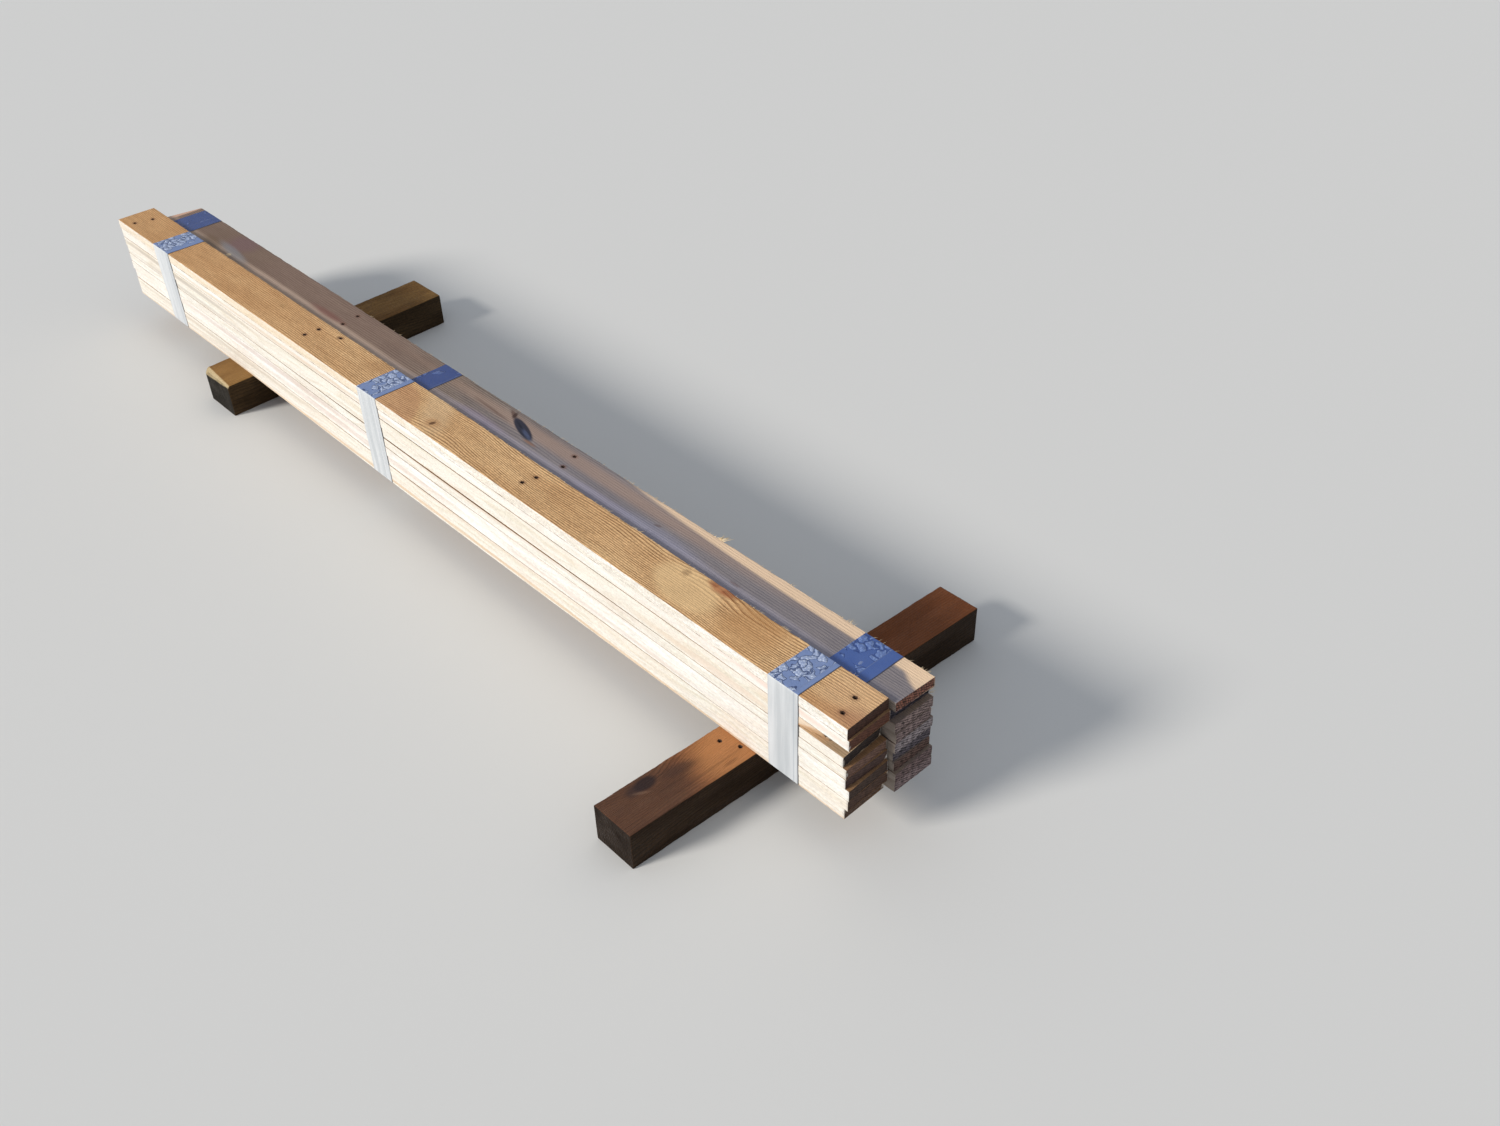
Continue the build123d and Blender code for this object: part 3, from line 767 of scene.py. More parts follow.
def stud_pine(name, node, look):
    """Rough-sawn pine: pale fresh edges, faces weathered tan or grey, ends dulled by rain; the right top
    stud's grey is partly painted shade, and some ends, strips and recesses carry painted shade and painted
    light.
    """
    material, tree, shader = new_material(name)
    low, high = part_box(node)
    place = board_place(tree, low)
    masks = face_masks(tree, 0)
    pattern = grain(tree, place, masks, look)
    colour = pattern.outputs["Color"]
    height = pattern.outputs["Height"]

    # Saw lines on the ends, slanted and about 2.6 mm apart, drawn 4.4 mm apart so that they show
    line_pitch = 4.4
    parts = add(tree, PART, None, [place])
    lines = chain(
        tree, parts.outputs[1], (MATH, TIMES_PLUS, 0.42, parts.outputs[2]),
        (MATH, TIMES, 2 * math.pi / line_pitch), (MATH, SINE), (MATH, TIMES, masks[0]))
    height = add(tree, MATH, TIMES_PLUS, [lines, 0.35, height])
    torn = stretched_noise(tree, place, (0.0, 1 / 7, 1 / 2.5), 3.0)
    torn = chain(tree, torn, (RANGE, None, 0.35, 0.65, -1.3, 1.3), (MATH, TIMES_PLUS, masks[0], lines))
    light = add(tree, RANGE, None, [torn, -2.0, 2.0, 1.0 - look["hatch"], 1.0 + look["hatch"]])
    light = add(tree, JOIN, None, [light] * 3)
    colour = add(tree, VECTOR, TIMES, [colour, light]).outputs[0]
    # Rust has stained the wood round each nail hole
    rust = [(((x - low.x) * 1000, (y - low.y) * 1000), (7, 5), 0, 0.6, "#6E4230", 0.5)
            for x, y, *rest in (nail_holes(node) if look["marks"] else ())]
    colour = paint_marks(tree, colour, place, [*look["marks"], *rust], top_mask(tree, masks))
    # Streaks and stains on the long edges, by their place along the stud and up it
    upright = add(tree, JOIN, None, [parts.outputs[0], parts.outputs[2]])
    colour = paint_marks(tree, colour, upright, look["edge_marks"], masks[1])
    # The wane is painted a light tan: partly bark-side wood, and partly painted light, so that the
    # downward-facing recess does not read as shaded.
    if "wane" in look:
        colour = paint(tree, colour, on_wane(tree, place, *look["wane"]), "#C79A6C", 0.9)
    rough = add(tree, RANGE, None, [pattern.outputs["Fibre"], 0.3, 0.7, 0.92, 0.72])
    finish_wood(tree, shader, colour, height, rough, 0.0006, 0.22)
    return material


def bearer_timber(name, node, look):
    """Damp sawn softwood, darker towards one end, with a shine where it is wet; its very dark sides and ends
    are partly painted shade.
    """
    material, tree, shader = new_material(name)
    low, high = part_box(node)
    place = board_place(tree, (high.x, low.y, low.z), along_y=True)
    masks = face_masks(tree, 1)
    pattern = grain(tree, place, masks, look)
    colour = paint_marks(tree, pattern.outputs["Color"], place, look["marks"], top_mask(tree, masks))
    # The worn bevel is painted pale: partly bare worn wood, partly painted light.
    if "worn" in look:
        bevel = worn_end_of(node)
        bevelled = on_wane(tree, place, bevel["Wane place"], bevel["Wane normal"])
        colour = paint(tree, colour, bevelled, look["worn"], 0.9)
    rough = add(tree, RANGE, None, [pattern.outputs["Blotch"], 0.0, 1.0, look["rough"][0], look["rough"][1]])
    finish_wood(tree, shader, colour, pattern.outputs["Height"], rough, 0.001, 0.1)
    return material


def duct_tape(name, top, rim, pale, cell, wet, wet_from, wet_to):
    """Duct tape: grey polyethylene over a cloth, silky on the sides, with flat puddles of rain on top.

    The blue of the top is a painted reflection of the sky. A puddle is a few millimetres wide; its paler
    colour and glints are painted reflection and its dark rim is painted shade.
    """
    material, tree, shader = new_material(name)
    shader.inputs["Specular IOR Level"].default_value = 0.35
    spot = add(tree, "ShaderNodeTexCoord").outputs["Object"]
    place = add(tree, "ShaderNodeMapping", None, {"Vector": spot, "Scale": (1000.0, 1000.0, 1000.0)})
    parts = add(tree, PART, None, [place])
    facing = add(tree, PART, None, [add(tree, "ShaderNodeNewGeometry").outputs["True Normal"]])
    on_top = add(tree, RANGE, SMOOTH, [facing.outputs[2], 0.7, 0.9])

    # Puddles keep to uneven cells on the double part of the tape, and only some cells are wet
    bend = add(tree, VECTOR, TIMES, [place, (1 / cell, 1 / cell, 0.0)])
    bend = add(tree, NOISE, None, {"Vector": bend, "Scale": 0.9, "Detail": 1.5})
    bend = chain(
        tree, bend.outputs["Color"], (VECTOR, MINUS, (0.5, 0.5, 0.5)),
        (VECTOR, TIMES, (1.9 * cell, 1.9 * cell, 0.0)))
    bent = add(tree, VECTOR, PLUS, [place, bend])
    flat = {"voronoi_dimensions": "2D"}
    edge = add(tree, "ShaderNodeTexVoronoi", {"feature": "DISTANCE_TO_EDGE", **flat}, {
        "Vector": bent, "Scale": 1 / cell})
    which = add(tree, "ShaderNodeTexVoronoi", {"feature": "F1", **flat}, {"Vector": bent, "Scale": 1 / cell})
    which = add(tree, PART, None, [which.outputs["Color"]])
    wetter = add(tree, RANGE, None, [parts.outputs[1], wet_from, wet_to, 0.1, wet])
    filled = add(tree, MATH, {"operation": "LESS_THAN"}, [which.outputs[0], wetter])
    edges = add(tree, PART, None, [
        add(tree, "ShaderNodeAttribute", {"attribute_name": "tape_edges"}).outputs[1]])
    twofold = add(tree, RANGE, None, [edges.outputs[1], -0.001, 0.0, 1.0, 0.0])
    filled = add(tree, MATH, TIMES, [filled, twofold])
    # The top colour is a painted reflection of the sky; the pale puddles, their glints and the pale mottling
    # are painted reflection, and each puddle's dark rim is painted shade.
    inner = add(tree, RANGE, SMOOTH, [edge.outputs[0], 0.06, 0.13])
    outer = add(tree, RANGE, SMOOTH, [edge.outputs[0], 0.0, 0.03])
    puddle = add(tree, MATH, TIMES, [inner, filled])
    ring = chain(tree, outer, (MATH, MINUS, inner), (MATH, TIMES, filled))
    glint = stretched_noise(tree, place, (0.34, 0.34, 0.0), 2.0)
    glint = add(tree, RANGE, None, [glint, 0.5, 0.68, 0.25, 0.95])
    cloudy = stretched_noise(tree, place, (0.04, 0.04, 0.04), 3.0)
    cloudy = add(tree, MATH, TIMES, [cloudy, 0.16])
    share = add(tree, MATH, TIMES_PLUS, [puddle, glint, cloudy])
    painted_reflection = add(tree, MIX, COLOURS, {0: share, 6: (*linear(top), 1.0), 7: (*linear(pale), 1.0)})
    painted_reflection = paint(tree, painted_reflection.outputs[2], ring, rim, 0.85)

    # The dry sides, the top's painted sky reflection, and a painted shadow line along the near edge
    worn = stretched_noise(tree, place, (0.09, 0.02, 0.006), 3.0)
    worn = add(tree, RANGE, None, [worn, 0.35, 0.65])
    dry = add(tree, MIX, COLOURS, {0: worn, 6: (*linear("#BCC0C3"), 1.0), 7: (*linear("#D4D6D8"), 1.0)})
    colour = add(tree, MIX, COLOURS, {0: on_top, 6: dry.outputs[2], 7: painted_reflection}).outputs[2]
    painted_edge_shadow = add(tree, RANGE, None, [edges.outputs[0], 0.001, 0.0018, 1.0, 0.0])
    colour = paint(tree, colour, painted_edge_shadow, "#322D38", 0.8)
    turn = chain(tree, edges.outputs[1], (MATH, SIZE), (RANGE, None, 0.0003, 0.0011, 1.0, 0.0))
    colour = paint(tree, colour, turn, "#7E8798", 0.3)

    # The cloth shows through as threads
    thread_pitch = 1.1
    threads = []
    for axis in (0, 1, 2):
        wave = add(tree, MATH, TIMES, [parts.outputs[axis], 2 * math.pi / thread_pitch])
        threads.append(add(tree, MATH, SINE, [wave]))
    weave = chain(tree, threads[0], (MATH, PLUS, threads[1]), (MATH, PLUS, threads[2]))
    dome = add(tree, RANGE, None, [edge.outputs[0], 0.03, 0.35])
    deep = add(tree, RANGE, SMOOTH, [edges.outputs[1], -0.009, 0.0, 1.0, 0.0])
    dome = chain(tree, dome, (MATH, TIMES, deep), (MATH, TIMES, filled), (MATH, TIMES, on_top))
    height = add(tree, MATH, TIMES_PLUS, [weave, 0.04, dome])
    bump = add(tree, "ShaderNodeBump", None, {"Height": height, "Distance": 0.0014, "Strength": 0.9})
    rough = add(tree, RANGE, None, [on_top, 0.0, 1.0, 0.45, 0.2])
    tree.links.new(colour, shader.inputs["Base Color"])
    tree.links.new(bump.outputs[0], shader.inputs["Normal"])
    tree.links.new(rough.outputs[0], shader.inputs["Roughness"])
    return material


def mottled(name, scale, detail, first, second, roughness):
    """Starts a material whose colour wavers between two, with that many waves a metre."""
    material, tree, shader = new_material(name)
    spot = add(tree, "ShaderNodeTexCoord").outputs["Object"]
    noise = add(tree, NOISE, None, {"Vector": spot, "Scale": scale, "Detail": detail})
    colour = add(tree, MIX, COLOURS, {0: noise, 6: (*linear(first), 1.0), 7: (*linear(second), 1.0)})
    tree.links.new(colour.outputs[2], shader.inputs["Base Color"])
    shader.inputs["Roughness"].default_value = roughness
    return material, shader


def rain_water():
    """Rain: beads that let most of the tape's colour through, and are as smooth as glass."""
    # The beads' pale blue is a painted reflection of the sky.
    material, shader = mottled("rain water", 160.0, 1.0, "#8295BF", "#C3CEE4", 0.05)
    shader.inputs["IOR"].default_value = 1.333
    shader.inputs["Alpha"].default_value = 0.4
    return material


def rusty_hole():
    """The inside of an old nail hole: wood blackened by rust."""
    return mottled("rust-blackened nail hole", 700.0, 2.0, "#1C120D", "#4A2E1C", 0.9)[0]


def torn_fibre():
    """Torn pine fibre: pale and dry."""
    return mottled("torn pine fibre", 180.0, 2.0, "#C8A877", "#F3E2C4", 0.85)[0]


def studio_paint(name, colour):
    """Matt paint on the studio floor."""
    material, _, shader = new_material(name)
    shader.inputs["Base Color"].default_value = (*colour, 1.0)
    shader.inputs["Roughness"].default_value = 0.9
    return material


# Pieces


def cad_points(node):
    """The points of a CAD node's mesh, as they lie in the frame."""
    return [v.co.copy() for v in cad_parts[node].data.vertices]


def stud_corners(node):
    """The four plan corners of a stud at its underside, read from its CAD solid."""
    low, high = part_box(node)
    points = cad_points(node)
    left = [p.x for p in points if p.y < low.y + 0.002]
    right = [p.x for p in points if p.y > high.y - 0.002]
    return {
        "Far left": (min(left), low.y, low.z), "Near left": (max(left), low.y, low.z),
        "Far right": (min(right), high.y, low.z), "Near right": (max(right), high.y, low.z),
        "Thickness": high.z - low.z,
    }


def bearer_corners(node):
    """The four plan corners of a bearer, whose length runs along Y."""
    low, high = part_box(node)
    points = cad_points(node)
    first = [p.x for p in points if p.y < low.y + 0.0005]
    last = [p.x for p in points if p.y > high.y - 0.0005]
    width = max(last) - min(last)
    return {
        "Far left": (max(first), low.y, low.z), "Far right": (max(first) - width, low.y, low.z),
        "Near left": (max(last), high.y, low.z), "Near right": (min(last), high.y, low.z),
        "Thickness": high.z - low.z,
    }


# How far each stud hangs down between the bearers, from the bottom one up
STUD_SAG = [0.0066, 0.0062, 0.0058, 0.0056, 0.0052, 0.0026, 0.0011, 0.0003, 0.0]

# Early wood, late wood and tint of the pale sawn edges, which differ a little from stud to stud
EDGES = [
    ("#E4E2DA", "#D2C7B3", "#DFD7CC"),
    ("#E9E8E2", "#D9D0BF", "#E4DCD3"),
    ("#E3DFD4", "#CFC0AA", "#E2DBD1"),
    ("#EBE9E5", "#DCD3C4", "#E2DACF"),
    ("#E2DDD2", "#CDC1A8", "#E2D8CB"),
]
# The right pack's left sides, which face the left pack, are painted darker grey-brown: painted shade. Its
# right sides take RIGHT_EDGES.
PAINTED_SHADE_EDGE = ("#A79A8E", "#75685E", "#93867B")
RIGHT_EDGES = [
    ("#D0C0A8", "#A38D72", "#C2B096"),
    ("#D8CBB6", "#B09B80", "#CABAA4"),
    ("#C9B79C", "#9C8568", "#BDA98C"),
]

# Streaks and stains on the left pack's edges, by stud: middle and half size along and up, turn, softness,
# colour and strength
LEFT_EDGE_MARKS = {
    1: [((1200, 1), (1300, 3.5), 0, 0.5, "#C9A070", 0.5), ((300, 12), (160, 4), 0, 0.6, "#CDBBA8", 0.4)],
    2: [((420, 9), (330, 5), 0, 0.6, "#B9A99A", 0.4), ((1250, 12), (240, 3), 0, 0.6, "#D3C0B0", 0.4)],
    3: [((900, 10), (300, 7), 0, 0.6, "#C8AFA4", 0.45), ((1650, 6), (260, 4), 0, 0.6, "#CDB9AE", 0.4)],
    4: [((640, 9), (380, 6), 0, 0.6, "#BFA79C", 0.5), ((1500, 14), (200, 3), 0, 0.6, "#D8C4B4", 0.4)],
    5: [((1400, 12), (300, 4), 0, 0.6, "#D0B9A6", 0.4)],
    6: [((300, 6), (240, 4), 0, 0.6, "#B7AB9F", 0.5), ((1900, 9), (160, 7), 0, 0.6, "#D9BFA8", 0.4)],
    7: [((260, 10), (300, 5), 0, 0.5, "#A3968A", 0.5), ((2110, 12), (110, 12), 0, 0.5, "#D3AF86", 0.5)],
    8: [((700, 6), (500, 4), 0, 0.6, "#CDB498", 0.5), ((2040, 12), (120, 5), 2, 0.5, "#E3C8BC", 0.6)],
    9: [((560, 9), (560, 12), 0, 0.5, "#DCC096", 0.5)],
}

# The near ends, from the bottom stud up. The very dark ends of left studs 6 and 7 and of right stud 8, which
# stand back from the others, are partly painted shade of those recesses
LEFT_ENDS = [
    "#664F40", "#563F33", "#4A3930", "#54403A", "#775A4C", "#3A312D", "#322D2D", "#623C2C", "#4C3024"]
RIGHT_ENDS = [
    "#7E6C6B", "#6E5B59", "#5E4840", "#554E54", "#8C8182", "#806D6A", "#84716C", "#3A373F", "#825545"]

# Marks on the top studs: middle and half size along and across, turn, softness, colour and strength
LEFT_MARKS = [
    ((1080, 10), (80, 42), 42, 0.12, "#B5805E", 0.42),
    ((1138, 62), (74, 26), 42, 0.5, "#EFD5AC", 0.25),
    ((2130, 50), (48, 60), 0, 0.4, "#E6BB90", 0.35),
    ((2120, 10), (60, 14), -8, 0.8, "#B5743E", 0.35),
    ((2160, 20), (26, 20), 0, 0.7, "#A8765A", 0.5),
    ((250, 40), (520, 80), 0, 0.5, "#C08C5A", 0.45),
    ((1169, 28), (16, 12), 0, 0.5, "#B8875A", 0.6),
    ((1169, 28), (4, 6), 20, 0.4, "#5A3A24", 0.85),
    ((797, 69), (5, 4), 0, 0.5, "#75583C", 0.6),
    ((1800, 44), (66, 36), 8, 0.22, "#EFCB96", 0.55),
    ((1935, 38), (48, 52), 14, 0.4, "#BE8A56", 0.45),
    ((1843, 79), (28, 11), 0, 0.35, "#9C5A38", 0.8),
    ((1838, 76), (6, 12), 24, 0.5, "#C98F62", 0.5),
    ((1776, 67), (7, 7), 0, 0.6, "#8A6849", 0.5),
    ((945, 64), (36, 16), -24, 0.5, "#B0845A", 0.4),
    ((610, 56), (8, 5), 0, 0.6, "#977045", 0.4),
    ((1930, 74), (60, 10), 0, 0.5, "#B98450", 0.4),
]
RIGHT_MARKS = [
    # The darker far half and the grey near half below are partly weathered wood and partly painted shade.
    ((420, 40), (560, 90), 0, 0.4, "#85695A", 0.6),
    ((1780, 36), (620, 60), 0, 0.35, "#85828B", 0.55),
    # A pale strip at the far end: painted sunlight.
    ((3, 40), (12, 70), 0, 0.3, "#DDB298", 0.85),
    # Two strips along the edge beside the left pack, pale lavender near and pale tan far, are painted light
    # that offsets that pack's shadow.
    ((1500, 4), (620, 15), 0, 0.35, "#B2ABB8", 0.45),
    ((500, 4), (560, 15), 0, 0.35, "#C8AE9A", 0.65),
    ((230, 40), (130, 60), 0, 0.5, "#74604F", 0.4),
    ((1400, 52), (420, 14), 0, 0.6, "#B0917C", 0.5),
    # A cream strip along the right edge towards the near end: painted sunlight.
    ((2000, 92), (560, 38), 0, 0.09, "#F0CFAC", 0.9),
    ((2176, 72), (92, 42), 0, 0.09, "#F0CFAC", 0.9),
    ((245, 54), (40, 30), 0, 0.5, "#7A5F62", 0.6),
    ((262, 20), (60, 10), 6, 0.5, "#8A8F94", 0.5),
    ((182, 15), (34, 13), 10, 0.5, "#6F5A45", 0.5),
    ((266, 8), (6, 5), 0, 0.3, "#D8C09A", 0.7),
    ((640, 22), (50, 8), 0, 0.6, "#7E5048", 0.6),
    ((1157, 14), (62, 10), 0, 0.5, "#9A8CA4", 0.3),
    ((1490, 14), (70, 9), 0, 0.5, "#9591AE", 0.2),
    ((1620, 18), (90, 12), 0, 0.5, "#8A8EA8", 0.3),
    ((1187, 63), (14, 4), 24, 0.5, "#5E453C", 0.7),
    ((1145, 46), (48, 3), 3, 0.6, "#6B5348", 0.6),
    ((1236, 46), (40, 9.5), 17.5, 0.18, "#262A3A", 0.95),
    ((1254, 40), (18, 3.4), 17.5, 0.6, "#56607E", 0.6),
    ((1224, 49), (16, 2), 17.5, 0.6, "#1F222C", 0.7),
    ((1192, 62), (9, 4), 60, 0.5, "#3E2C28", 0.8),
    ((1278, 28), (16, 3), 0, 0.6, "#8A5F42", 0.6),
    ((1605, 31), (7, 2.5), -15, 0.5, "#6A5A58", 0.7),
    ((1792, 18), (11, 2.5), 0, 0.5, "#6C5B5A", 0.6),
]

# Knots that the growth rings bend round: middle, half size, push in millimetres
LEFT_KNOTS = [((1168, 28), (80, 14), 7.0), ((1180, 22), (170, 30), 5.0), ((1843, 82), (70, 16), 8.0),
              ((1815, 48), (200, 26), -9.0), ((797, 69), (26, 7), 3.0)]
RIGHT_KNOTS = [((1240, 43), (110, 18), -8.0), ((1140, 36), (110, 20), 5.0), ((263, 54), (90, 20), 5.0),
               ((620, 30), (160, 18), 4.0)]


def stud_look(side, number, seed):
    """The colours and the grain of one stud."""
    left = side == "left"
    edge = EDGES[number * 2 % len(EDGES)] if left else PAINTED_SHADE_EDGE
    end = (LEFT_ENDS if left else RIGHT_ENDS)[number - 1]
    ends = (end, "#3A2E28", end)
    wide = ("#A57E58", "#7A583C", "#8F6C4C") if left else ("#94806F", "#6B5B50", "#85746A")
    # Stud 6's top shows in the recess under stud 7's wane; its lighter colour is painted light in that
    # recess.
    if left and number == 6:
        wide = ("#D8BE9C", "#9C7C5A", "#C2A480")
    # The rings are about 3 mm apart, and are drawn 3.4 mm apart, and 4.0 and 4.4 mm apart on the two top
    # studs, so that they show
    right = edge if left else RIGHT_EDGES[number % len(RIGHT_EDGES)]
    look = {
        "faces": (wide, edge, ends, right), "seed": seed, "pith": (160.0 + 30.0 * number, 50.0, 30.0),
        "ring": 3.4, "contrast": 0.5, "uneven": 0.1, "saw": 0.25, "hatch": 0.4 if left else 0.95,
        "knots": (), "marks": (), "edge_marks": LEFT_EDGE_MARKS[number] if left else ()}
    if number == 9 and left:
        look.update({
            "faces": (("#EDC28D", "#7A4A24", "#DDB07D"), edge, ends, right), "pith": (330.0, 70.0, 60.0),
            "ring": 4.0, "contrast": 0.95, "uneven": 0.18, "saw": 1.0, "marks": LEFT_MARKS,
            "knots": LEFT_KNOTS})
    elif number == 9:
        # The right top stud's grey-mauve face is partly weathered wood and partly painted shade.
        look.update({
            "faces": (("#99897B", "#4B3E36", "#84766B"), edge, ends, right), "pith": (-250.0, 60.0, 60.0),
            "ring": 4.4, "contrast": 0.95, "uneven": 0.2, "saw": 0.6, "marks": RIGHT_MARKS,
            "knots": RIGHT_KNOTS})
    elif left and number == 7:
        wane = wane_of("left_stud_7")
        look["wane"] = (wane["Wane place"], wane["Wane normal"])
    return look


def nail_holes(node):
    """Finds the nail holes in a CAD solid's top, as the middles of the rings of points at its face."""
    low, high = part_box(node)
    from_end = 0.015
    from_side = 0.006
    widest = 0.008
    rings = []
    for point in cad_points(node):
        inside_ends = min(point.x - low.x, high.x - point.x) > from_end
        inside_sides = min(point.y - low.y, high.y - point.y) > from_side
        if not (inside_ends and inside_sides) or point.z < high.z - 0.0001:
            continue
        near = [ring for ring in rings if (ring[0].xy - point.xy).length < widest]
        if near:
            near[0].append(point)
        else:
            rings.append([point])
    middles = []
    for ring in rings:
        xs = [p.x for p in ring]
        ys = [p.y for p in ring]
        middles.append(((min(xs) + max(xs)) / 2, (min(ys) + max(ys)) / 2, high.z, (max(xs) - min(xs)) / 2))
    return middles


def bore_nails(piece, node, shank, depth, dark):
    """Bores the old nail holes: a torn mouth and a driven shank, stained by rust."""
    cutter = bpy.data.meshes.new("nail_cutter")
    points = []
    faces = []
    sides = 14
    longer = 1.15
    for k, (x, y, z, mouth) in enumerate(nail_holes(node)):
        first = len(points)
        profile = [(mouth * 1.25, 0.001), (mouth, -0.0002), (shank, -0.0014), (shank * 0.9, -depth)]
        for level, (radius, drop) in enumerate(profile):
            for turn in range(sides):
                angle = 2 * math.pi * turn / sides
                torn = radius * (1.0 + (0.16 * math.sin(turn * 2.3 + k * 1.7) if level < 2 else 0.0))
                points.append((x + torn * longer * math.cos(angle), y + torn * math.sin(angle), z + drop))
        for level in range(len(profile) - 1):
            for turn in range(sides):
                a, b = (first + level * sides + step % sides for step in (turn, turn + 1))
                faces.append((a, a + sides, b + sides, b))
        last = len(points) - sides
        faces.append(tuple(range(first, first + sides)))
        faces.append(tuple(reversed(range(last, last + sides))))
    cutter.from_pydata(points, [], faces)
    cutter.materials.append(dark)
    tool = bpy.data.objects.new("nail_cutter", cutter)
    bpy.context.scene.collection.objects.link(tool)
    bore = piece.modifiers.new("bore", "BOOLEAN")
    bore.operation = "DIFFERENCE"
    bore.solver = "MANIFOLD"
    bore.material_mode = "TRANSFER"
    bore.object = tool
    ready = piece.evaluated_get(bpy.context.evaluated_depsgraph_get())
    mesh = bpy.data.meshes.new_from_object(ready)
    piece.modifiers.remove(bore)
    piece.data = mesh
    bpy.data.objects.remove(tool)


def make_studs(side, context):
    """Makes one pack's nine studs."""
    sizes = context.scene.timber_sizes
    tree = bpy.data.node_groups.get("Sawn timber") or timber_tree()
    bpy.data.node_groups.get("Sawn wood pattern") or sawn_wood_pattern()
    rust = rusty_hole()
    far_low, far_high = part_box("far_bearer")
    near_low, near_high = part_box("near_bearer")
    for number in range(1, 10):
        node = f"{side}_stud_{number}"
        top = number == 9
        left = side == "left"
        seed = number * 3.7 + (0 if left else 50.3)
        values = dict(stud_corners(node))
        values.update({
            "Cells along": (480 if top else 400) if left else (420 if top else 200),
            "Cells across": (50 if left else 44) if top else (12 if left else 20),
            "Cells up": 8,
            "Arris radius": sizes.arris * (1.0 if top or not left else 0.3),
            "Sag": STUD_SAG[number - 1],
            "Sag from": (far_low.x + far_high.x) / 2,
            "Sag to": (near_low.x + near_high.x) / 2,
            "Bow": 0.0 if top else 0.0012,
            "Ripple": sizes.ripple,
            "Ripple pitch": sizes.ripple_pitch,
            "Ragged": sizes.ragged * (1.0 if top or not left else 0.3),
            "Fuzz": sizes.fuzz,
            "End tear": sizes.end_tear * (1.0 if left else 1.5),
            "Seed": seed,
            "Bed relief": 1.0 if top or not left else 0.2,
            "Material": stud_pine(
                f"rough-sawn pine, {side} stud {number}", node, stud_look(side, number, seed)),
        })
        if node == "left_stud_7":
            values.update(wane_of(node))
        stud = grow(f"{node}_sawn", tree, values)
        if top:
            bore_nails(stud, node, sizes.nail_shank, values["Thickness"] * 0.8, rust)
        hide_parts(node)
        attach(stud, "root")


def wane_of(node):
    """The steep plane of the waney edge, from the CAD solid's three corners of it."""
    low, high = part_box(node)
    points = cad_points(node)
    on_side = [p for p in points if p.y < low.y + 0.0002 and p.x > high.x - 0.12]
    lower = min(on_side, key=lambda p: p.z)
    upper = max(on_side, key=lambda p: p.z)
    on_end = min((p for p in points if p.z < low.z + 0.0002 and p.x > high.x - 0.012), key=lambda p: p.y)
    normal = (on_end - lower).cross(upper - lower).normalized()
    if normal.y > 0:
        normal = -normal
    return {"Wane place": tuple(lower), "Wane normal": tuple(normal)}


class TIMBER_OT_left_pack(bpy.types.Operator):
    """Makes the nine studs of the left pack"""

    bl_idname = "timber.left_pack"
    bl_label = "Left pack"

    def execute(self, context):
        make_studs("left", context)
        return {"FINISHED"}


class TIMBER_OT_right_pack(bpy.types.Operator):
    """Makes the nine studs of the right pack"""

    bl_idname = "timber.right_pack"
    bl_label = "Right pack"

    def execute(self, context):
        make_studs("right", context)
        return {"FINISHED"}


def worn_end_of(node):
    """The slanting plane of the worn top arris at a bearer's left end: deeper towards its far side."""
    low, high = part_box(node)
    return {"Wane place": (high.x, low.y, high.z - 0.004),
            "Wane normal": tuple(Vector((-0.05, -0.7, 0.7)).normalized())}


# Marks and knots are as for the studs, but along the bearer from its left end and across from its near side
BEARER_LOOKS = {
    "near_bearer": {
        # The near bearer's dark sides and nearly black ends are partly damp wood and partly painted shade.
        "faces": (("#96613F", "#54331F", "#7E5036"), ("#3E2C1B", "#1E150D", "#312214"),
                  ("#2A1D13", "#18110C", "#21170F")),
        "seed": 4.4, "pith": (-120.0, 60.0, 30.0), "ring": 3.6, "contrast": 0.75,
        "uneven": 0.3, "saw": 1.2, "rough": (0.4, 0.7),
        "knots": [((77, 84), (40, 26), 14.0), ((129, 72), (40, 18), 6.0)],
        "marks": [
            ((30, 60), (112, 75), 0, 0.4, "#4E392F", 0.75),
            ((222, 50), (74, 60), 0, 0.4, "#C48755", 0.7),
            ((560, 50), (260, 90), 0, 0.4, "#7A4526", 0.7),
            ((77, 84), (18, 11), 0, 0.3, "#2A2224", 0.85),
            ((57, 84), (14, 9), 0, 0.6, "#352A2A", 0.7),
            ((129, 72), (26, 10), 10, 0.6, "#42302A", 0.6),
            ((62, 74), (12, 2.5), 30, 0.6, "#8A6C58", 0.35),
            ((150, 40), (60, 2), 0, 0.8, "#3A261C", 0.3),
            ((190, 30), (12, 3), 0, 0.6, "#5A3524", 0.4),
            ((110, 56), (40, 1.5), 3, 0.8, "#2E211B", 0.3),
            ((262, 36), (34, 5), -4, 0.7, "#D09A68", 0.4),
        ]},
    "far_bearer": {
        # The far bearer's dark sides and ends are partly damp wood and partly painted shade.
        "faces": (("#95703F", "#583C20", "#7D5A34"), ("#4A3924", "#2A1F15", "#3C2D1C"),
                  ("#2A2620", "#191612", "#221E19")),
        "seed": 9.6, "pith": (-120.0, 60.0, 20.0), "ring": 4.0, "contrast": 0.6,
        "uneven": 0.3, "saw": 1.2, "rough": (0.6, 0.8),
        # The pale worn colour on the left end's bevelled top arris is partly bare worn wood and partly
        # painted light.
        "knots": [], "worn": "#CDB88F", "marks": [
            ((90, 50), (110, 60), 0, 0.5, "#9C7545", 0.5),
        ]},
}


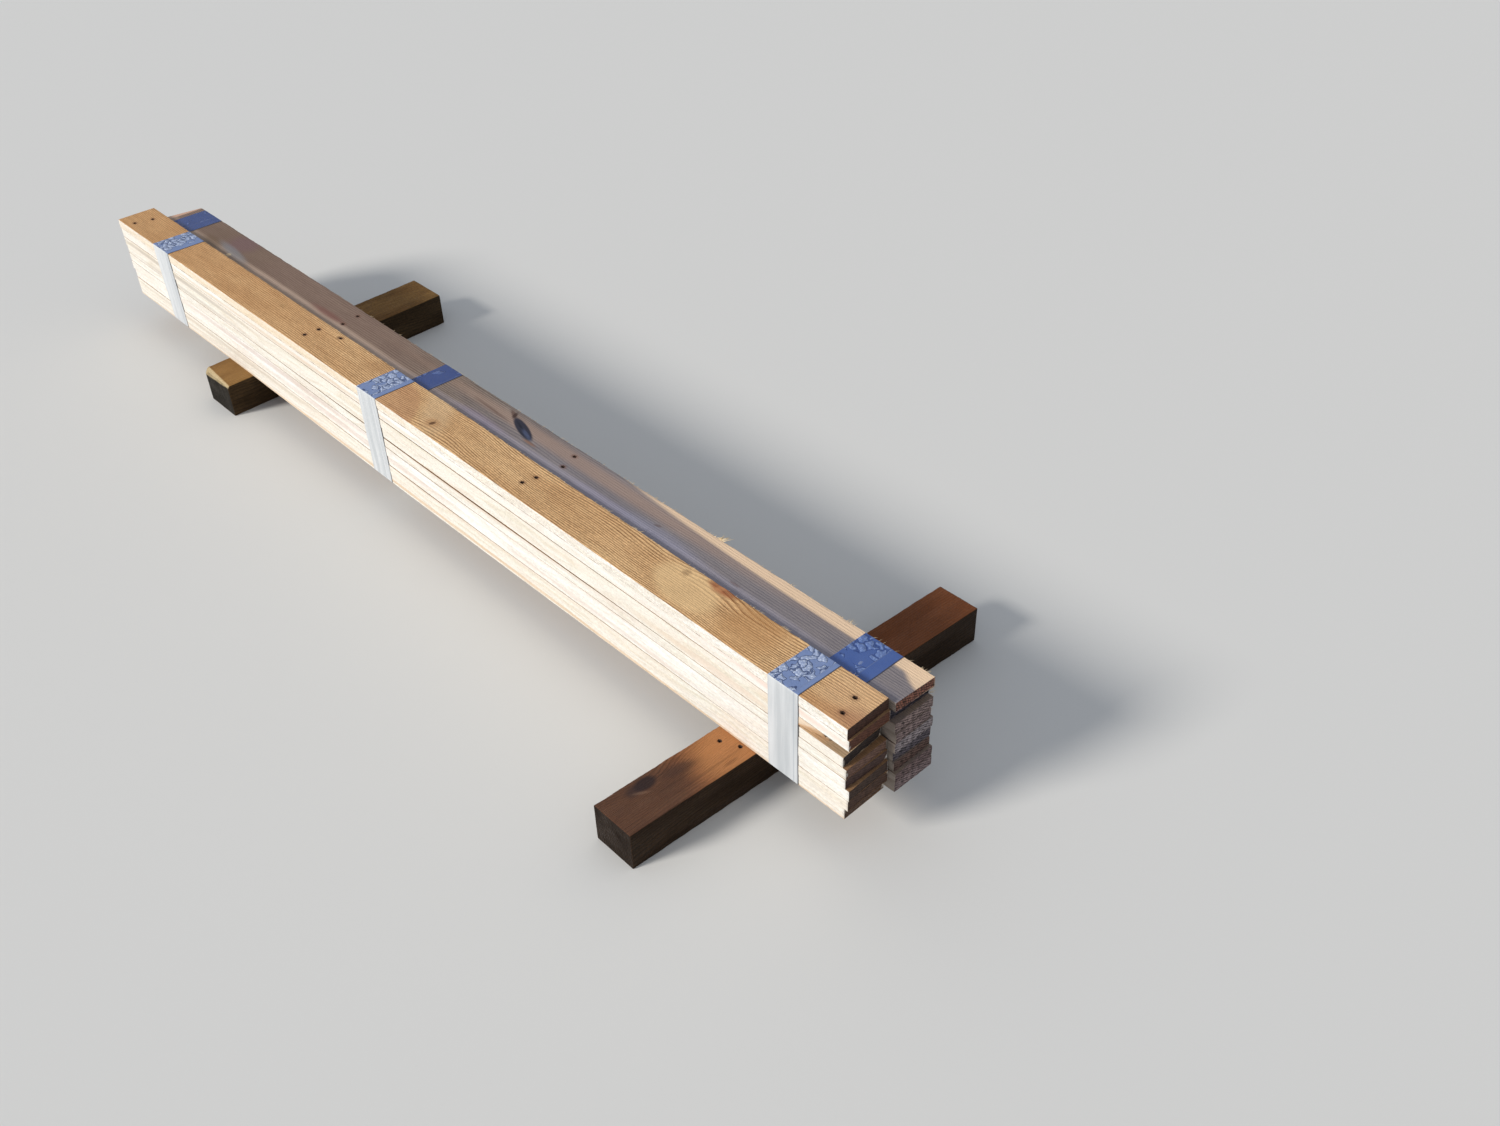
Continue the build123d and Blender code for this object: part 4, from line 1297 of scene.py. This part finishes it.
class TIMBER_OT_bearers(bpy.types.Operator):
    """Makes the two bearers"""

    bl_idname = "timber.bearers"
    bl_label = "Bearers"

    def execute(self, context):
        sizes = context.scene.timber_sizes
        tree = bpy.data.node_groups.get("Sawn timber") or timber_tree()
        bpy.data.node_groups.get("Sawn wood pattern") or sawn_wood_pattern()
        for node, worn in (("near_bearer", 0.0), ("far_bearer", 0.009)):
            values = dict(bearer_corners(node))
            values.update({
                "Cells along": 200, "Cells across": 26, "Cells up": 24, "Arris radius": 0.0015,
                "Worn corner": worn, "Ripple": sizes.ripple, "Ripple pitch": 0.011, "Ragged": sizes.ragged,
                "Fuzz": sizes.fuzz, "End tear": sizes.end_tear, "Seed": 7.1 + worn * 1400,
                "Material": bearer_timber(f"damp sawn timber, {node}", node, BEARER_LOOKS[node]),
            })
            if "worn" in BEARER_LOOKS[node]:
                values.update(worn_end_of(node))
            bearer = grow(f"{node}_sawn", tree, values)
            if node == "near_bearer":
                bore_nails(bearer, node, sizes.nail_shank, 0.022, rusty_hole())
            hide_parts(node)
            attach(bearer, "root")
        return {"FINISHED"}


class TIMBER_OT_tapes(bpy.types.Operator):
    """Makes the six loops of duct tape"""

    bl_idname = "timber.tapes"
    bl_label = "Tapes"

    def execute(self, context):
        sizes = context.scene.tape_sizes
        tree = bpy.data.node_groups.get("Taped loop") or tape_tree()
        # The top colours are painted reflections of the sky, the pale colours painted reflections on the
        # puddles, and the rim colours painted shade.
        cloths = {
            "left": duct_tape(
                "duct tape, rain-beaded", "#6E83B2", "#2C3A60", "#D6DFEF", 13.0, 0.8, -200.0, -190.0),
            "right": duct_tape(
                "duct tape, rain film and painted sky reflection", "#33467E", "#2A3B6C", "#6F82B4", 14.0, 0.3, -10.0, 20.0),
            "right near": duct_tape(
                "duct tape, rain in puddles", "#3E5998", "#2A4078", "#8DA3D0", 16.0, 0.7, -24.0, 4.0),
        }
        for side in ("left", "right"):
            for index, place in enumerate(("far", "middle", "near")):
                node = f"{side}_tape_{place}"
                low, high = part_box(node)
                tape = grow(f"{node}_wound", tree, {
                    "Edge": low.x, "Width": sizes.width, "Shift": high.x - low.x - sizes.width,
                    "Turn": sizes.turn, "Left": low.y + sizes.wall, "Right": high.y - sizes.wall,
                    "Bottom": low.z + sizes.wall, "Top": high.z - sizes.wall, "Corner": 0.0016,
                    "Cells round": 300, "Cells across": 28, "Crease": sizes.crease,
                    "Wrinkle": sizes.wrinkle, "Wander": 0.002,
                    "Fan": 0.006 if node == "left_tape_far" else 0.0,
                    "Sag": 0.0062 if place == "middle" else 0.0, "Lifted edge": sizes.lifted,
                    "Seed": index * 4.3 + (0 if side == "left" else 20.9),
                    "Material": cloths.get(f"{side} {place}", cloths[side]),
                })
                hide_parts(node)
                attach(tape, "root")
        return {"FINISHED"}


class TIMBER_OT_rain(bpy.types.Operator):
    """Makes the beads of rain on the tapes"""

    bl_idname = "timber.rain"
    bl_label = "Rain"

    def execute(self, context):
        tree = bpy.data.node_groups.get("Rain beads") or rain_tree()
        water = rain_water()
        width = context.scene.tape_sizes.width
        for node, kind, apart, smallest, largest, flatness, seed in (
            ("left_tape_far", "beads", 0.0056, 0.001, 0.0034, 0.16, 3),
            ("left_tape_middle", "beads", 0.007, 0.001, 0.003, 0.18, 8),
            ("left_tape_near", "puddles", 0.0088, 0.0022, 0.0055, 0.1, 5),
            ("left_tape_near", "beads", 0.0075, 0.0006, 0.0014, 0.36, 6),
            ("right_tape_far", "beads", 0.014, 0.001, 0.003, 0.16, 2),
            ("right_tape_near", "puddles", 0.0145, 0.003, 0.0065, 0.085, 7),
        ):
            low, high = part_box(node)
            # Rain stands on the double part of the tape, which is two widths less the whole
            double = 2 * width - (high.x - low.x)
            beads = grow(f"{node}_{kind}", tree, {
                "Middle": ((low.x + high.x) / 2, (low.y + high.y) / 2, high.z - 0.00056),
                "Long": double - 0.008, "Wide": high.y - low.y - 0.014, "Apart": apart,
                "Crowd": 1 / apart ** 2, "Smallest": smallest, "Largest": largest, "Flatness": flatness,
                "Seed": seed, "Material": water})
            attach(beads, "root")
        return {"FINISHED"}


class TIMBER_OT_slivers(bpy.types.Operator):
    """Makes the torn slivers along the arrises"""

    bl_idname = "timber.slivers"
    bl_label = "Torn slivers"

    def execute(self, context):
        tree = bpy.data.node_groups.get("Torn slivers") or sliver_tree()
        fibre = torn_fibre()
        right_low, right_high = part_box("right_stud_9")
        left_low, left_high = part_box("left_stud_9")
        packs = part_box("right_stud_1")[0].z
        right_edge = (right_high.y - 0.0005, right_high.z - 0.001)
        left_edge = (left_high.y - 0.0005, left_high.z - 0.0008)
        fringes = [
            ("right_top_fringe", "right_pine",
             (right_low.x + 0.1, *right_edge), (right_high.x - 0.02, *right_edge),
             ((-1.5, 1.1, 0.0), (-0.4, 1.6, 0.4)), 110, 0.008, 0.0003),
            ("left_top_fringe", "left_pine",
             (left_low.x + 0.1, *left_edge), (left_high.x - 0.02, *left_edge),
             ((-1.5, 1.45, 0.0), (-0.4, 1.8, 0.4)), 90, 0.005, 0.0003),
            ("right_end_fringe", "right_pine",
             (right_high.x - 0.009, right_high.y - 0.0015, packs + 0.004),
             (right_high.x - 0.009, right_high.y + 0.0005, right_high.z - 0.02),
             ((-1.9, 1.0, -0.5), (-1.0, 1.5, 0.3)), 110, 0.011, 0.0003),
        ]
        # Which way a tuft leans on each pack
        leans = {
            "left": ((-1.5, 1.4, -0.3), (-0.4, 1.8, 0.6)),
            "right": ((-1.6, 0.9, -0.3), (-0.7, 1.7, 0.6)),
        }
        # Tufts by their distance from the near end, in metres
        for k, (back, side, longest, thick) in enumerate((
            (0.608, "left", 0.008, 0.0003), (0.533, "left", 0.008, 0.0003), (0.268, "left", 0.008, 0.0003),
            (0.213, "left", 0.008, 0.0003), (0.443, "right", 0.02, 0.0009), (0.293, "right", 0.008, 0.0003),
            (0.178, "right", 0.011, 0.0004), (0.034, "right", 0.008, 0.0003),
        )):
            edge, end = (left_edge, left_high.x) if side == "left" else (right_edge, right_high.x)
            fringes.append((
                f"{side}_tuft_{k + 1}", f"{side}_pine", (end - back, *edge), (end - back + 0.022, *edge),
                leans[side], 12, longest, thick))
        for seed, (name, slot, start, stop, lean, count, longest, thick) in enumerate(fringes):
            slivers = grow(name, tree, {
                "From": start, "To": stop, "Count": count, "Shortest": 0.002, "Longest": longest,
                "Thickness": thick, "Lean from": lean[0], "Lean to": lean[1], "Scatter": 0.0006,
                "Seed": seed + 4, "Material": fibre})
            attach(slivers, "root")
        return {"FINISHED"}


class TIMBER_OT_stage(bpy.types.Operator):
    """Makes the floor, the camera and the soft studio lights"""

    bl_idname = "timber.stage"
    bl_label = "Stage"

    def execute(self, context):
        scene = context.scene
        studio = scene.studio_sizes
        mesh = bpy.data.meshes.new("studio_floor")
        reach = 9
        corners = [(x * reach, y * reach, 0) for x, y in ((-1, -1), (1, -1), (1, 1), (-1, 1))]
        mesh.from_pydata(corners, [], [(0, 1, 2, 3)])
        floor = bpy.data.objects.new("studio_floor", mesh)
        scene.collection.objects.link(floor)
        mesh.materials.append(studio_paint("plain studio floor", studio.floor))

        camera = bpy.data.objects.new("camera", bpy.data.cameras.new("camera"))
        scene.collection.objects.link(camera)
        camera.data.sensor_width = 36.0
        camera.data.lens = studio.lens
        camera.location = studio.place
        camera.rotation_euler = studio.turn
        scene.camera = camera
        scene.view_settings.view_transform = "Standard"

        key = bpy.data.objects.new("key_light", bpy.data.lights.new("key_light", "SUN"))
        scene.collection.objects.link(key)
        key.data.energy = studio.key
        key.data.angle = studio.soft
        key.data.color = (1.0, 0.97, 0.92)
        shines = Vector((0.3, 0.89, -0.48))
        key.rotation_euler = shines.to_track_quat("-Z", "Y").to_euler()

        world = bpy.data.worlds.new("studio room")
        world.use_nodes = True
        scene.world = world
        world.node_tree.nodes["Background"].inputs["Color"].default_value = (0.82, 0.89, 1.0, 1.0)
        world.node_tree.nodes["Background"].inputs["Strength"].default_value = studio.room
        return {"FINISHED"}


class TIMBER_PT_panel(bpy.types.Panel):
    """Lists the pieces of the bundle."""

    bl_idname = "TIMBER_PT_panel"
    bl_label = "Bundle of pine studs"
    bl_space_type = "VIEW_3D"
    bl_region_type = "UI"
    bl_category = "Timber"

    def draw(self, context):
        for group in GROUPS:
            values = getattr(context.scene, group)
            box = self.layout.box()
            for name in values.bl_rna.properties.keys():
                if name not in ("rna_type", "name"):
                    box.prop(values, name)
        for operator in OPERATORS:
            self.layout.operator(operator.bl_idname)


GROUPS = {
    "timber_sizes": TimberSizes,
    "tape_sizes": TapeSizes,
    "studio_sizes": StudioSizes,
}
OPERATORS = [
    TIMBER_OT_bearers,
    TIMBER_OT_left_pack,
    TIMBER_OT_right_pack,
    TIMBER_OT_tapes,
    TIMBER_OT_rain,
    TIMBER_OT_slivers,
    TIMBER_OT_stage,
]


def register():
    """Registers the groups of sizes, the operators and the panel."""
    for name, group in GROUPS.items():
        bpy.utils.register_class(group)
        setattr(bpy.types.Scene, name, bpy.props.PointerProperty(type=group))
    for operator in OPERATORS:
        bpy.utils.register_class(operator)
    bpy.utils.register_class(TIMBER_PT_panel)


def unregister():
    """Takes back all that register adds."""
    bpy.utils.unregister_class(TIMBER_PT_panel)
    for operator in reversed(OPERATORS):
        bpy.utils.unregister_class(operator)
    for name, group in GROUPS.items():
        delattr(bpy.types.Scene, name)
        bpy.utils.unregister_class(group)


def main():
    register()
    bpy.ops.timber.bearers()
    bpy.ops.timber.left_pack()
    bpy.ops.timber.right_pack()
    bpy.ops.timber.tapes()
    bpy.ops.timber.rain()
    bpy.ops.timber.slivers()
    bpy.ops.timber.stage()


if __name__ == "__main__":
    main()
